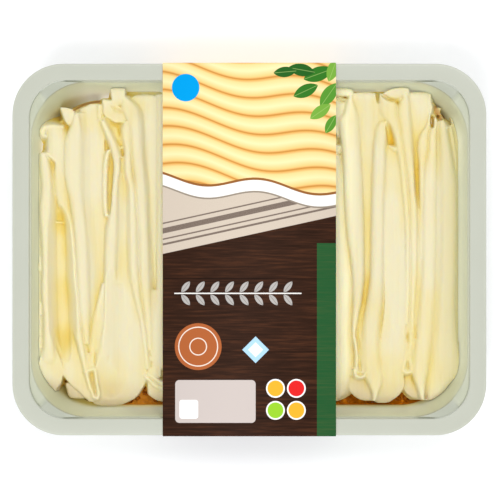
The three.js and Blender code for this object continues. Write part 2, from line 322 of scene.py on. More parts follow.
def rounded_loop(x0, x1, y0, y1, radii, z, steps, side_steps=1):
    """A level rectangle with four corner radii, counter-clockwise from its right top corner."""
    turns = np.linspace(0, math.pi / 2, steps + 1)
    corners = [(x1, y1, -1, -1), (x0, y1, 1, -1), (x0, y0, 1, 1), (x1, y0, -1, 1)]
    loop = []
    for k, ((x, y, sx, sy), radius) in enumerate(zip(corners, radii)):
        angle = turns + k * math.pi / 2
        cx, cy = x + sx * radius, y + sy * radius
        loop.append(np.column_stack([cx + radius * np.cos(angle), cy + radius * np.sin(angle)]))
    flat = []
    for arc, following in zip(loop, loop[1:] + loop[:1]):
        share = np.linspace(0, 1, side_steps + 1)[1:-1, None]
        flat += [arc, arc[-1] * (1 - share) + following[0] * share]
    flat = np.vstack(flat)
    return np.column_stack([flat, np.full(len(flat), z)])


two_squares = [rounded_loop(-1, 1, -1, 1, [0.5] * 4, z, 2) for z in (0, 1)]
print("a skin through two small loops has", len(skin(two_squares)[1]), "faces")

# %% [markdown]
# A skin becomes a piece of the scene once it is a mesh in metres with its finishes. Each piece then
# hides the solids that it stands for. The pack has one body, so all of them ride on that one.


# %% Turn skins into pieces
def to_piece(name, points, faces, finishes):
    """A mesh object in metres, smooth shaded."""
    mesh = bpy.data.meshes.new(name)
    mesh.from_pydata((np.asarray(points) * MM).tolist(), [], faces)
    for finish in finishes:
        mesh.materials.append(finish)
    mesh.shade_smooth()
    piece = bpy.data.objects.new(name, mesh)
    scene.collection.objects.link(piece)
    return piece


def carry(piece, name, values):
    """Writes a value at each point of a piece, for its finish to read."""
    piece.data.attributes.new(name, "FLOAT", "POINT").data.foreach_set("value", values)


def settle(piece, slot, *stands_for):
    """Puts a finished piece on the pack's one body, in place of the solids that it stands for."""
    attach(piece, "root")
    if stands_for:
        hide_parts(*stands_for)
    piece.data.calc_loop_triangles()
    print(f"{piece.name}: {len(piece.data.loop_triangles)} triangles")


print("pieces are measured in metres, and", MM, "of one is a millimetre")

# %% [markdown]
# ## The tray
# A ready-meal tray is formed from one sheet of plastic, so it has the same thin wall everywhere:
# a flat flange for the lid, a small ledge in each corner that stops stacked trays from jamming,
# walls that lean out and a rounded foot. A subdivided box would lose those crisp steps, so it is a
# stack of loops that goes up the outside, over the flange and down the inside.

# %% Measure the tray's wall
FLANGE_WIDTH = 7.8
FLANGE_CORNER = 24.4
FLANGE_THICK = 1.0
RIM_CORNER = 18.2
WALL = 0.8
WALL_CORNER = 27.0
WALL_LEAN = math.tan(math.radians(12))
LEDGE = RIM - 2.5
LEDGE_RISER = 0.4
LEDGE_STEP = 0.6
FOOT_ROUND = 6.0
LUG_RISE = 0.9
EDGE_ROUND = 0.4
CORNER_STEPS = 28
WALL_HEIGHTS = (14.0, 22.0, 30.0)
LUG_SPAN = (0.46, 0.97)
LUG_SLOPE = 0.05
RIM_X = tray_high[0] - FLANGE_WIDTH
RIM_Y = tray_high[1] - FLANGE_WIDTH


def wall_inset(z):
    """How far the inside of the wall stands in from the flange's inner edge at a height."""
    return LEDGE_RISER + LEDGE_STEP + (LEDGE - z) * WALL_LEAN


def wall_height(x, y, gap):
    """How high the inside of the wall is at a place, seen from above, with a gap kept to it."""
    a, b = np.abs(x) - (RIM_X - WALL_CORNER), np.abs(y) - (RIM_Y - WALL_CORNER)
    beside = WALL_CORNER - np.maximum(a, b)
    inner = np.maximum((a + b) ** 2 - 2 * (a**2 + b**2 - WALL_CORNER**2), 0)
    round_corner = (np.sqrt(inner) - a - b) / 2
    inset = np.where(np.minimum(a, b) + beside > 0, round_corner, beside) - gap
    return LEDGE - (inset - LEDGE_RISER - LEDGE_STEP) / WALL_LEAN


print(f"the wall comes in by {wall_inset(FOOT) - wall_inset(LEDGE):.1f} mm on its way down")

# %% [markdown]
# Each loop is a rounded rectangle about the middle of the tray, so it needs only how far out it
# lies, its corner radius and its height. The lips of the flange and the round foot are quarter
# turns of such loops.


# %% Draw the tray's loops
def centred_loop(out, radius, z):
    x, y = RIM_X + out, RIM_Y + out
    return rounded_loop(-x, x, -y, y, [radius] * 4, z, CORNER_STEPS)


def wall_loop(z, out=0.0):
    return centred_loop(out - wall_inset(z), WALL_CORNER + out, z)


def rim_loop(out, z):
    growth = (FLANGE_CORNER - RIM_CORNER) / FLANGE_WIDTH
    return centred_loop(out, RIM_CORNER + out * growth, z)


def foot_loops(floor, radius, out):
    """The quarter round between the floor and the wall."""
    loops = []
    for angle in np.linspace(0, math.pi / 2, 9):
        z = floor + radius * (1 - math.cos(angle))
        loops.append(wall_loop(z, out - radius * (1 - math.sin(angle))))
    return loops


def with_lugs(loop):
    """Raises half of each corner of a ledge loop, the small step that keeps nested trays apart."""
    share = np.linspace(0, 1, CORNER_STEPS + 1)
    lift = np.clip((share - LUG_SPAN[0]) / LUG_SLOPE, 0, 1)
    lift = lift * np.clip((LUG_SPAN[1] - share) / LUG_SLOPE, 0, 1)
    loop = loop.copy()
    for corner in range(4):
        rise = lift if corner % 2 == 0 else lift[::-1]
        start = corner * (CORNER_STEPS + 1)
        loop[start : start + CORNER_STEPS + 1, 2] += LUG_RISE * rise
    return loop


quarter = np.linspace(0, math.pi / 2, 5)
inner_lip = [
    rim_loop(EDGE_ROUND * (1 - math.cos(a)), RIM - EDGE_ROUND * (1 - math.sin(a))) for a in quarter
]
outer_lip = [
    rim_loop(
        FLANGE_WIDTH - EDGE_ROUND * (1 - math.sin(a)), RIM - EDGE_ROUND * (1 - math.cos(a))
    )
    for a in quarter
]
inside = [
    *foot_loops(FOOT + WALL, FOOT_ROUND, 0.0),
    *[wall_loop(z) for z in WALL_HEIGHTS],
    wall_loop(LEDGE - 0.3),
    with_lugs(centred_loop(-LEDGE_RISER - LEDGE_STEP + 0.2, WALL_CORNER, LEDGE)),
    with_lugs(rim_loop(-LEDGE_RISER - 0.05, LEDGE)),
    rim_loop(-0.1, LEDGE + LUG_RISE + 0.2),
    *inner_lip,
    *outer_lip,
]
outside = [
    *foot_loops(FOOT, FOOT_ROUND + WALL, WALL),
    *[wall_loop(z, WALL) for z in WALL_HEIGHTS],
    wall_loop(LEDGE - FLANGE_THICK, WALL),
    rim_loop(WALL - LEDGE_RISER, LEDGE - FLANGE_THICK),
    rim_loop(WALL, RIM - FLANGE_THICK),
    rim_loop(FLANGE_WIDTH - 0.3, RIM - FLANGE_THICK),
    rim_loop(FLANGE_WIDTH, RIM - FLANGE_THICK + 0.3),
]
print(f"tray: {len(inside) + len(outside)} loops of {len(inside[0])} points")

# %% [markdown]
# Tray plastic is pale and a little waxy. The inside of the wall is painted lighter than the flange,
# a painted light that lifts the shade down it, so the colour follows the height. Low by the food it
# carries a warm painted reflection of the food with its shade, at the right wall, the near wall and
# in the corners. The mesh says which side of the sheet is the inner one.

# %% Finish the tray
CORNER_FROM = (78.0, 54.0)
CORNER_FADE = 12.0
tray_finish, tray_shader, tray_wire = new_finish("tray plastic", Specular_IOR_Level=0.4)
tray_place = object_place(tray_wire)
tray_x, tray_y, tray_height = (millimetres(tray_place, axis) for axis in "XYZ")
out_x, out_y = tray_x.maths("ABSOLUTE"), tray_y.maths("ABSOLUTE")
inner_side = carried(tray_wire, "inner_side")
right_wall = ((tray_x - 75.0) / 25.0).maths("MAXIMUM", 0.0)
# Walls that take a painted reflection of the food and its shade: the right and the near one.
bounce_tinted_walls = right_wall.maths("MAXIMUM", between(tray_y, 0.0, -60.0)).maths("MINIMUM", 1.0)
beside_corner = between(out_y, CORNER_FROM[1], CORNER_FROM[1] + CORNER_FADE)
corner = between(out_x, CORNER_FROM[0], CORNER_FROM[0] + CORNER_FADE) * beside_corner
# Painted reflection of the food and its shade: low on those walls and in the corners.
food_bounce_tint = between(tray_height, 20.0, 14.0) * bounce_tinted_walls.maths("MAXIMUM", corner * 0.6)
flange_tone = over(cloud(tray_place, 60.0), ink(185, 188, 174), ink(189, 192, 179))
on_lug = between(tray_height, RIM - 1.3, RIM - 1.5) * inner_side
flange_tone = over(on_lug * corner, flange_tone, ink(172, 176, 160))
deep_wall = between(tray_height, RIM - 2.5, RIM - 18.5)
# Painted light: the wall is painted lighter than the flange, to lift the shade down it.
wall_tone = over(deep_wall, ink(206, 209, 180), ink(208, 210, 176))
# Painted reflection of the food and its shade, warm, low on the wall.
wall_tone = over(food_bounce_tint * 0.8, wall_tone, ink(206, 196, 120))
down_wall = between(tray_height, RIM - 1.6, RIM - 4.0) * inner_side
plug(over(down_wall, flange_tone, wall_tone), tray_shader, "Base Color")
plug(0.34 + cloud(tray_place, 900.0) * 0.12, tray_shader, "Roughness")
bump(cloud(tray_place, 1400.0, 2.0), tray_shader, 0.25, 0.03)
print("tray finish:", len(tray_wire.tree.nodes), "nodes")

# %% [markdown]
# A faint glow on the inside of the wall is painted light: it stands for daylight through the thin
# sheet and lifts the shade down the wall and by the food. It grows down the inside of the wall, and
# is strongest at the right and weakest at the near side and in the corners. The step under the
# flange has a little painted glow too, and so does the foot of the far and the left wall.

# %% Paint a glow of light on the tray's wall
# Painted light, by side: more at the right, less at the near side.
glow_by_side = 0.48 + right_wall * 0.3 + tray_y.maths("MINIMUM", 0.0) * 0.0014
down_glow = ((LEDGE - tray_height) / 20.0).maths("MAXIMUM", 0.0).maths("POWER", 0.8, clamp=True)
wall_glow = down_glow * glow_by_side * (1.0 - corner * 0.8)
step_glow = between(tray_height, LEDGE + LUG_RISE, LEDGE + LUG_RISE + 0.3)
step_glow = step_glow * between(tray_height, RIM - 0.05, RIM - 0.35) * (0.42 + tray_y * 0.0012)
foot_glow = ((25.0 - tray_height) / 9.0).maths("MAXIMUM", 0.0).maths("POWER", 2.0) * 0.5
at_the_left = (tray_x / -60.0).maths("MULTIPLY", 0.35, clamp=True)
foot_glow = foot_glow * (1.0 - bounce_tinted_walls).maths("MAXIMUM", at_the_left)
foot_glow = foot_glow * (1.0 - between(out_x, 62.0, 74.0) * beside_corner)
painted_wall_light = (wall_glow + step_glow + foot_glow) * inner_side
glow_tone = over(food_bounce_tint, ink(202, 208, 207), ink(196, 190, 110))
# The glow is painted light as emission: cool up the wall, warm by the food as a painted reflection of
# it.
plug(over(painted_wall_light, ink(0, 0, 0), glow_tone), tray_shader, "Emission Color")
tray_shader.inputs["Emission Strength"].default_value = 0.8
tray = to_piece("tray_dressed", *skin([*outside, *inside[::-1]]), [tray_finish])
tray.data.set_sharp_from_angle(angle=math.radians(40))
outer_points = (len(outside) + len(outer_lip)) * len(outside[0])
is_inner = np.zeros(len(tray.data.vertices))
is_inner[outer_points:] = 1
is_inner[-2] = 0
carry(tray, "inner_side", is_inner)
settle(tray, "tray_plastic", "tray")

# %% [markdown]
# ## Mince in gravy
# The filling is a level pool of thick gravy with small pieces of mince in it. It runs through the
# whole tray, but shows only in the gaps beside the wall. So the bed is a plain stack of loops with
# its fine lumps only there, and the pieces of meat are scattered over that border by Geometry
# Nodes, which can place hundreds of them from one seed.

# %% Fit the filling to the wall
FOOD_GAP = 0.05
BORDER = 17.0
BORDER_STEP = 0.75
FOOD_STEPS = (48, 170)
MENISCUS = 1.8
MENISCUS_WIDTH = 0.9
LUMP_COUNT = 520
LUMP_SEED = 11
LUMP_RADII = (1.3, 3.4)
LUMP_RISES = (0.5, 1.2)
luck = np.random.default_rng(LUMP_SEED)


def food_loop(z, tuck=0.0):
    """A loop of the filling, with many points so that it can hold lumps."""
    out = -wall_inset(z) - FOOD_GAP - tuck
    x, y = RIM_X + out, RIM_Y + out
    radius = WALL_CORNER - FOOD_GAP - tuck
    return rounded_loop(-x, x, -y, y, [radius] * 4, z, *FOOD_STEPS)


def press_to_wall(places):
    """Moves what is past the tray's wall or its round foot back inside, keeping the food's gap."""
    above = np.clip((places[:, 2] - FOOT - WALL - FOOD_GAP) / FOOT_ROUND, 0, 1)
    inset = wall_inset(places[:, 2]) + FOOD_GAP
    inset = inset + FOOT_ROUND * (1 - np.sqrt(1 - (1 - above) ** 2))
    radius = WALL_CORNER - FOOD_GAP
    for_x, for_y = RIM_X - inset - radius, RIM_Y - inset - radius
    past = np.column_stack([np.abs(places[:, 0]) - for_x, np.abs(places[:, 1]) - for_y])
    corner = (past > 0).all(1)
    reach = np.linalg.norm(past, axis=1)
    shrink = np.where(corner & (reach > radius), radius / np.maximum(reach, 1e-6), 1)
    past = np.minimum(past * shrink[:, None], radius)
    flat = np.column_stack([for_x, for_y]) + past
    return np.column_stack([np.sign(places[:, :2]) * flat, places[:, 2]])


DIP_PLACES = [(-86.0, 76.0), (-77.0, 78.0), (-91.0, -74.0)]
DIP_REACH = 10.0
DIP_DEPTH = 12.5


def dip(x, y):
    """In the two left corners the filling lies lower, and more of the wall shows."""
    depths = [
        DIP_DEPTH * np.exp(-((x - cx) ** 2 + (y - cy) ** 2) / (2 * DIP_REACH**2))
        for cx, cy in DIP_PLACES
    ]
    return np.max(depths, axis=0)


print(f"the filling keeps {FOOD_GAP} mm to the wall and has {len(DIP_PLACES)} low places")

# %% [markdown]
# Where it shows, the gravy has round lumps of meat under its skin, and along the near wall it
# creeps up a little, as a wet edge does.


# %% Pour the gravy
def soft_lumps(x, y, lumps):
    """The height that a crowd of round-topped lumps gives at each place."""
    height = np.zeros(len(x))
    for cx, cy, radius, rise in lumps:
        near = 1 - ((x - cx) ** 2 + (y - cy) ** 2) / radius**2
        height = np.maximum(height, rise * np.sqrt(np.clip(near, 0, 1)))
    return height


def border_places(count, reach):
    """Random places in the border beside the wall."""
    x = luck.uniform(-RIM_X, RIM_X, count * 6)
    y = luck.uniform(-RIM_Y, RIM_Y, count * 6)
    inset = wall_inset(MINCE_TOP) + FOOD_GAP
    beside = np.maximum(np.abs(x) - (RIM_X - inset), np.abs(y) - (RIM_Y - inset))
    keep = (beside < 0) & (beside > -reach)
    return x[keep][:count], y[keep][:count]


GRAVY_LEVEL = MINCE_TOP - 1.3
lump_x, lump_y = border_places(LUMP_COUNT, BORDER)
lump_radii = luck.uniform(*LUMP_RADII, len(lump_x))
lump_rises = luck.uniform(*LUMP_RISES, len(lump_x))
lumps = np.column_stack([lump_x, lump_y, lump_radii, lump_rises])
side_loops = []
for angle in np.linspace(0, math.pi / 2, 5):
    z = FOOT + WALL + FOOD_GAP + FOOT_ROUND * (1 - math.cos(angle))
    side_loops.append(food_loop(z, FOOT_ROUND * (1 - math.sin(angle))))
side_loops.append(food_loop(GRAVY_LEVEL - 0.5))
top_loops = []
for tuck in np.arange(0, BORDER, BORDER_STEP):
    loop = food_loop(GRAVY_LEVEL, tuck)
    x, y = loop[:, 0], loop[:, 1]
    climb = MENISCUS * np.clip(-y / 40, 0, 1) * math.exp(-tuck / MENISCUS_WIDTH)
    loop[:, 2] += climb + soft_lumps(x, y, lumps) - dip(x, y)
    top_loops.append(press_to_wall(loop))
top_loops.append(food_loop(GRAVY_LEVEL, BORDER + 6))
for loop in side_loops[2:]:
    loop[:, 2] = np.minimum(loop[:, 2], GRAVY_LEVEL - 0.4 - dip(loop[:, 0], loop[:, 1]))
gravy_loops = side_loops[:2] + [press_to_wall(loop) for loop in side_loops[2:]] + top_loops

print(f"gravy: {len(gravy_loops)} loops of {len(gravy_loops[0])} points, {len(lumps)} lumps")

# %% [markdown]
# Gravy is brown where it is thick and amber where fat shows in it, and its soft gloss has the warm
# tone of the food round it. At the left it has painted light, brighter to lift the shade there.

# %% Finish the gravy
gravy_gloss = {"Specular_IOR_Level": 0.08, "Specular_Tint": (1.0, 0.62, 0.2, 1.0)}
gravy_finish, gravy_shader, gravy_wire = new_finish("gravy", **gravy_gloss)
gravy_place = object_place(gravy_wire)
gravy_swirl = cloud(gravy_place, 420.0, 4.0, 0.6)
gravy_stops = [(0.3, ink(138, 70, 2)), (0.55, ink(177, 97, 4)), (0.75, ink(232, 148, 28))]
gravy_tone = toned(gravy_swirl, gravy_stops)
# Painted light: brighter towards the left, lifting the shade there.
painted_light_left = (millimetres(gravy_place, "X") / -90.0).maths("MULTIPLY", 0.68, clamp=True)
plug(over(painted_light_left, gravy_tone, ink(244, 172, 66)), gravy_shader, "Base Color")
plug(0.2 + cloud(gravy_place, 700.0) * 0.25, gravy_shader, "Roughness")
bump(cloud(gravy_place, 1100.0, 3.0), gravy_shader, 0.5, 0.25)
gravy = to_piece("gravy_bed", *skin(gravy_loops), [gravy_finish])
settle(gravy, "mince_gravy", "mince")

# %% [markdown]
# The pieces of meat are crumbs of every shape. Each starts as a small ball that is turned and
# stretched by chance and then pushed out of round by a noise. They are scattered over a hidden
# strip just above the border of the gravy, which is taken away afterwards.

# %% Shape a crumb of mince
CRUMB_SEED = 5
CRUMBS_PER_M2 = 95000.0
CRUMB_SIZE = 1.55 * MM
CRUMB_STRETCH = ((0.45, 0.5, 0.45), (1.35, 1.0, 0.9))
CRUMB_GRAIN = 620.0
CRUMB_ROUGHNESS = 2.2 * MM
CRUMB_TUCKS = (1.2, 8.0, BORDER - 2)
CRUMB_LIFT = 0.25
WHOLE_TURN = 6.28
mince_finish, mince_shader, mince_wire = new_finish("mince", **gravy_gloss)
mince_place = object_place(mince_wire)
mince_grain = cloud(mince_place, 800.0, 4.0, 0.65)
mince_stops = [(0.3, ink(112, 54, 2)), (0.5, ink(146, 78, 8)), (0.72, ink(196, 120, 34))]
plug(toned(mince_grain, mince_stops), mince_shader, "Base Color")
plug(0.35 + cloud(mince_place, 900.0) * 0.3, mince_shader, "Roughness")
bump(cloud(mince_place, 1800.0, 4.0), mince_shader, 0.6, 0.25)


def scatter_tree():
    """Geometry nodes: rough crumbs of meat on a surface, each with its own turn, size and shape."""
    tree = bpy.data.node_groups.new("scatter mince", "GeometryNodeTree")
    kinds = {
        "Surface": "NodeSocketGeometry",
        "Crumbs per square metre": "NodeSocketFloat",
        "Crumb size": "NodeSocketFloat",
        "Seed": "NodeSocketInt",
        "Finish": "NodeSocketMaterial",
    }
    for name, kind in kinds.items():
        tree.interface.new_socket(name, in_out="INPUT", socket_type=kind)
    tree.interface.new_socket("Crumbs", in_out="OUTPUT", socket_type="NodeSocketGeometry")
    given = tree.nodes.new("NodeGroupInput").outputs
    surface, density, size, seed, finish = (Wire(tree, given[name]) for name in kinds)
    make, by_chance = surface.make, {"data_type": "FLOAT_VECTOR"}
    strewn = {"Mesh": surface, "Density": density, "Seed": seed}
    places = make("GeometryNodeDistributePointsOnFaces", values=strewn, output="Points")
    ball_values = {"Subdivisions": 2, "Radius": size}
    ball = make("GeometryNodeMeshIcoSphere", values=ball_values, output="Mesh")
    turn = make("FunctionNodeRandomValue", by_chance, {1: [WHOLE_TURN] * 3, "Seed": seed})
    stretches = {0: CRUMB_STRETCH[0], 1: CRUMB_STRETCH[1], "Seed": seed}
    stretch = make("FunctionNodeRandomValue", by_chance, stretches)
    crumb_values = {"Points": places, "Instance": ball, "Rotation": turn, "Scale": stretch}
    crumbs = make("GeometryNodeInstanceOnPoints", values=crumb_values, output="Instances")
    real = make("GeometryNodeRealizeInstances", values={"Geometry": crumbs}, output="Geometry")
    rough = make("ShaderNodeTexNoise", values={"Scale": CRUMB_GRAIN}, output="Color")
    away = make("ShaderNodeVectorMath", {"operation": "SUBTRACT"}, {0: rough, 1: [0.5] * 3})
    push_values = {0: away, "Scale": CRUMB_ROUGHNESS}
    push = make("ShaderNodeVectorMath", {"operation": "SCALE"}, push_values, "Vector")
    pushed = {"Geometry": real, "Offset": push}
    shape = make("GeometryNodeSetPosition", values=pushed, output="Geometry")
    dressed = {"Geometry": shape, "Material": finish}
    dress = make("GeometryNodeSetMaterial", values=dressed, output="Geometry")
    result = tree.nodes.new("NodeGroupOutput")
    tree.links.new(dress.socket, result.inputs["Crumbs"])
    return tree


mince_tree = scatter_tree()
print("the scatter has", len(mince_tree.nodes), "nodes")

# %% [markdown]
# The strip that carries the crumbs follows the wall, and dips with the gravy in the left corners.


# %% Scatter the pieces of mince
def grow(piece, tree, **inputs):
    """Runs a geometry node tree on a piece and gives back its result as a plain new mesh."""
    modifier = piece.modifiers.new("grow", "NODES")
    modifier.node_group = tree
    for item in tree.interface.items_tree:
        if item.in_out == "INPUT" and item.name.replace(" ", "_") in inputs:
            modifier[item.identifier] = inputs[item.name.replace(" ", "_")]
    bpy.context.view_layer.update()
    evaluated = piece.evaluated_get(bpy.context.evaluated_depsgraph_get())
    mesh = bpy.data.meshes.new_from_object(evaluated)
    piece.modifiers.remove(modifier)
    return mesh


border = [food_loop(GRAVY_LEVEL + CRUMB_LIFT, tuck)[::6] for tuck in CRUMB_TUCKS]
for loop in border:
    loop[:, 2] -= dip(loop[:, 0], loop[:, 1])
border = [press_to_wall(loop) for loop in border]
count = len(border[0])
border_faces = [
    (row + i, row + (i + 1) % count, row + count + (i + 1) % count, row + count + i)
    for row in (0, count)
    for i in range(count)
]
seed_bed = to_piece("seed_bed", np.vstack(border), border_faces, [])
crumb_mesh = grow(
    seed_bed,
    mince_tree,
    Crumbs_per_square_metre=CRUMBS_PER_M2,
    Crumb_size=CRUMB_SIZE,
    Seed=CRUMB_SEED,
    Finish=mince_finish,
)
bpy.data.objects.remove(seed_bed)
crumb_mesh.shade_smooth()
crumbs = bpy.data.objects.new("mince_crumbs", crumb_mesh)
scene.collection.objects.link(crumbs)
settle(crumbs, "mince_gravy")

# %% [markdown]
# ## Piping the mash
# Each ribbon of mash is drawn as a cook would see it from above: at a few places along it, where
# its left and right edges are and how high it stands. A smooth curve runs through those values, and
# over a fine grid each ribbon gives a height: a low crown between its edges and a steep side past
# them. Where ribbons meet, wet mash flows together, so their heights are joined by a soft maximum.
# Sculpting would give the same folds, but these short rows can be read and changed.


# %% Heights of one ribbon
def through(places, values, at):
    """A smooth curve through values that never swings past them."""
    gap = np.diff(places)
    slope = np.diff(values) / gap
    tangent = np.zeros(len(values))
    before, after = slope[:-1], slope[1:]
    same = before * after > 0
    tangent[1:-1][same] = 2 * before[same] * after[same] / (before[same] + after[same])
    tangent[0], tangent[-1] = slope[0], slope[-1]
    i = np.clip(np.searchsorted(places, at, "right") - 1, 0, len(gap) - 1)
    t = (at - places[i]) / gap[i]
    a, b = values[i], values[i + 1]
    lead, trail = tangent[i] * gap[i], tangent[i + 1] * gap[i]
    return (
        a
        + t * lead
        + t**2 * (3 * (b - a) - 2 * lead - trail)
        + t**3 * (lead + trail - 2 * (b - a))
    )


GRID = 0.36
CUT, SHARP, ROUND, SOFT = 9.0, 3.4, 1.5, 0.6
FOLD_CROWN, FLAT_CROWN = 1.8, 0.3
FOLD_TUCK, FLAT_TUCK = 0.15, 0.5
END_DROP = 2.2
FAR_END, FOLD_END, FLAT_END = 0.3, 0.9, 0.3
LEAN = 0.3


def ribbon_height(xs, ys, rows, left_side=CUT, right_side=CUT, flat=False):
    """Heights of a ribbon from rows of y, left edge, right edge and crest, and how steep its two
    sides are. It starts square at the far wall and ends round at the near one."""
    crown, tuck = (FLAT_CROWN, FLAT_TUCK) if flat else (FOLD_CROWN, FOLD_TUCK)
    lean = 0.0 if flat else LEAN
    rows = np.array(rows, float)[::-1]
    at = np.clip(ys, rows[0, 0], rows[-1, 0])
    left, right, crest = (through(rows[:, 0], rows[:, k], at) for k in (1, 2, 3))
    near = max((rows[0, 2] - rows[0, 1]) / 2 * (FLAT_END if flat else FOLD_END), 0.5)
    far = max((rows[-1, 2] - rows[-1, 1]) / 2 * FAR_END, 0.4)
    share = np.minimum(np.minimum((at - rows[0, 0]) / near, (rows[-1, 0] - at) / far), 1)
    full = np.sqrt(np.clip(1 - (1 - share) ** 2, 0, 1))
    half = ((right - left) / 2 + tuck) * full + 1e-3
    across = (xs[None] - ((left + right) / 2)[:, None]) / half[:, None]
    edge = np.minimum(np.abs(across), 1)
    past = np.maximum(np.abs(across) - 1, 0) * half[:, None]
    side = np.where(across < 0, left_side, right_side)
    top = (crest - END_DROP * (1 - full))[:, None]
    low_crown = np.minimum(crown, half)[:, None]
    height = top - low_crown * edge**3 - lean * np.clip(across, -1, 1) * edge - side * past
    height[(ys <= rows[0, 0]) | (ys >= rows[-1, 0])] = 0
    return height


print(f"a fold's edges lie {FOLD_CROWN} mm below its crest")

# %% [markdown]
# Some marks don't run along the ribbons: a small hollow, a loose curl, a stain. Each is a path
# drawn with a width at each of its points. A hollow is cut under a ceiling and a curl is
# laid on top.


# %% Heights along a path
def stations(points, widths):
    """Places, heights and half widths closely along a drawn path."""
    points = np.array(points, float)
    run = np.concatenate([[0], np.cumsum(np.linalg.norm(np.diff(points[:, :2], axis=0), axis=1))])
    at = np.linspace(0, run[-1], max(3, int(run[-1] / GRID)))
    x, y, z = (through(run, points[:, k], at) for k in range(3))
    return zip(x, y, z, through(run, np.array(widths, float), at) / 2)


def curl_height(xs, ys, points, widths, crown=1.1):
    """Heights of a gathered end or a loose curl that wanders over the ribbons."""
    height = np.zeros((len(ys), len(xs)))
    for px, py, pz, reach in stations(points, widths):
        away = np.hypot(xs[None] - px, ys[:, None] - py)
        rise = pz - crown * np.minimum(away / reach, 1) ** 2 - SHARP * np.maximum(away - reach, 0)
        height = np.maximum(height, rise)
    return height


def hollow_ceiling(xs, ys, side, points, widths):
    """How high mash can stand in and round a hollow: its floor, then sides of a given steepness."""
    ceiling = np.full((len(ys), len(xs)), 99.0)
    for px, py, pz, reach in stations(points, widths):
        away = np.hypot(xs[None] - px, ys[:, None] - py)
        ceiling = np.minimum(ceiling, pz + side * np.maximum(away - reach, 0))
    return ceiling


print(f"a path is followed in steps of {GRID} mm")

# %% [markdown]
# The ribbons at the left end come first. A fold is a ribbon that stands up; a flat is a lower
# stretch of mash between folds, or a lobe at their ends. Hollows are where no mash closed a gap,
# curls are the loose lips and threads on top, and stains are where gravy came up. Rows run from the
# far wall to the near one, as y, left edge, right edge and height; paths give x, y and height, or
# how strong a stain is, and then their widths.

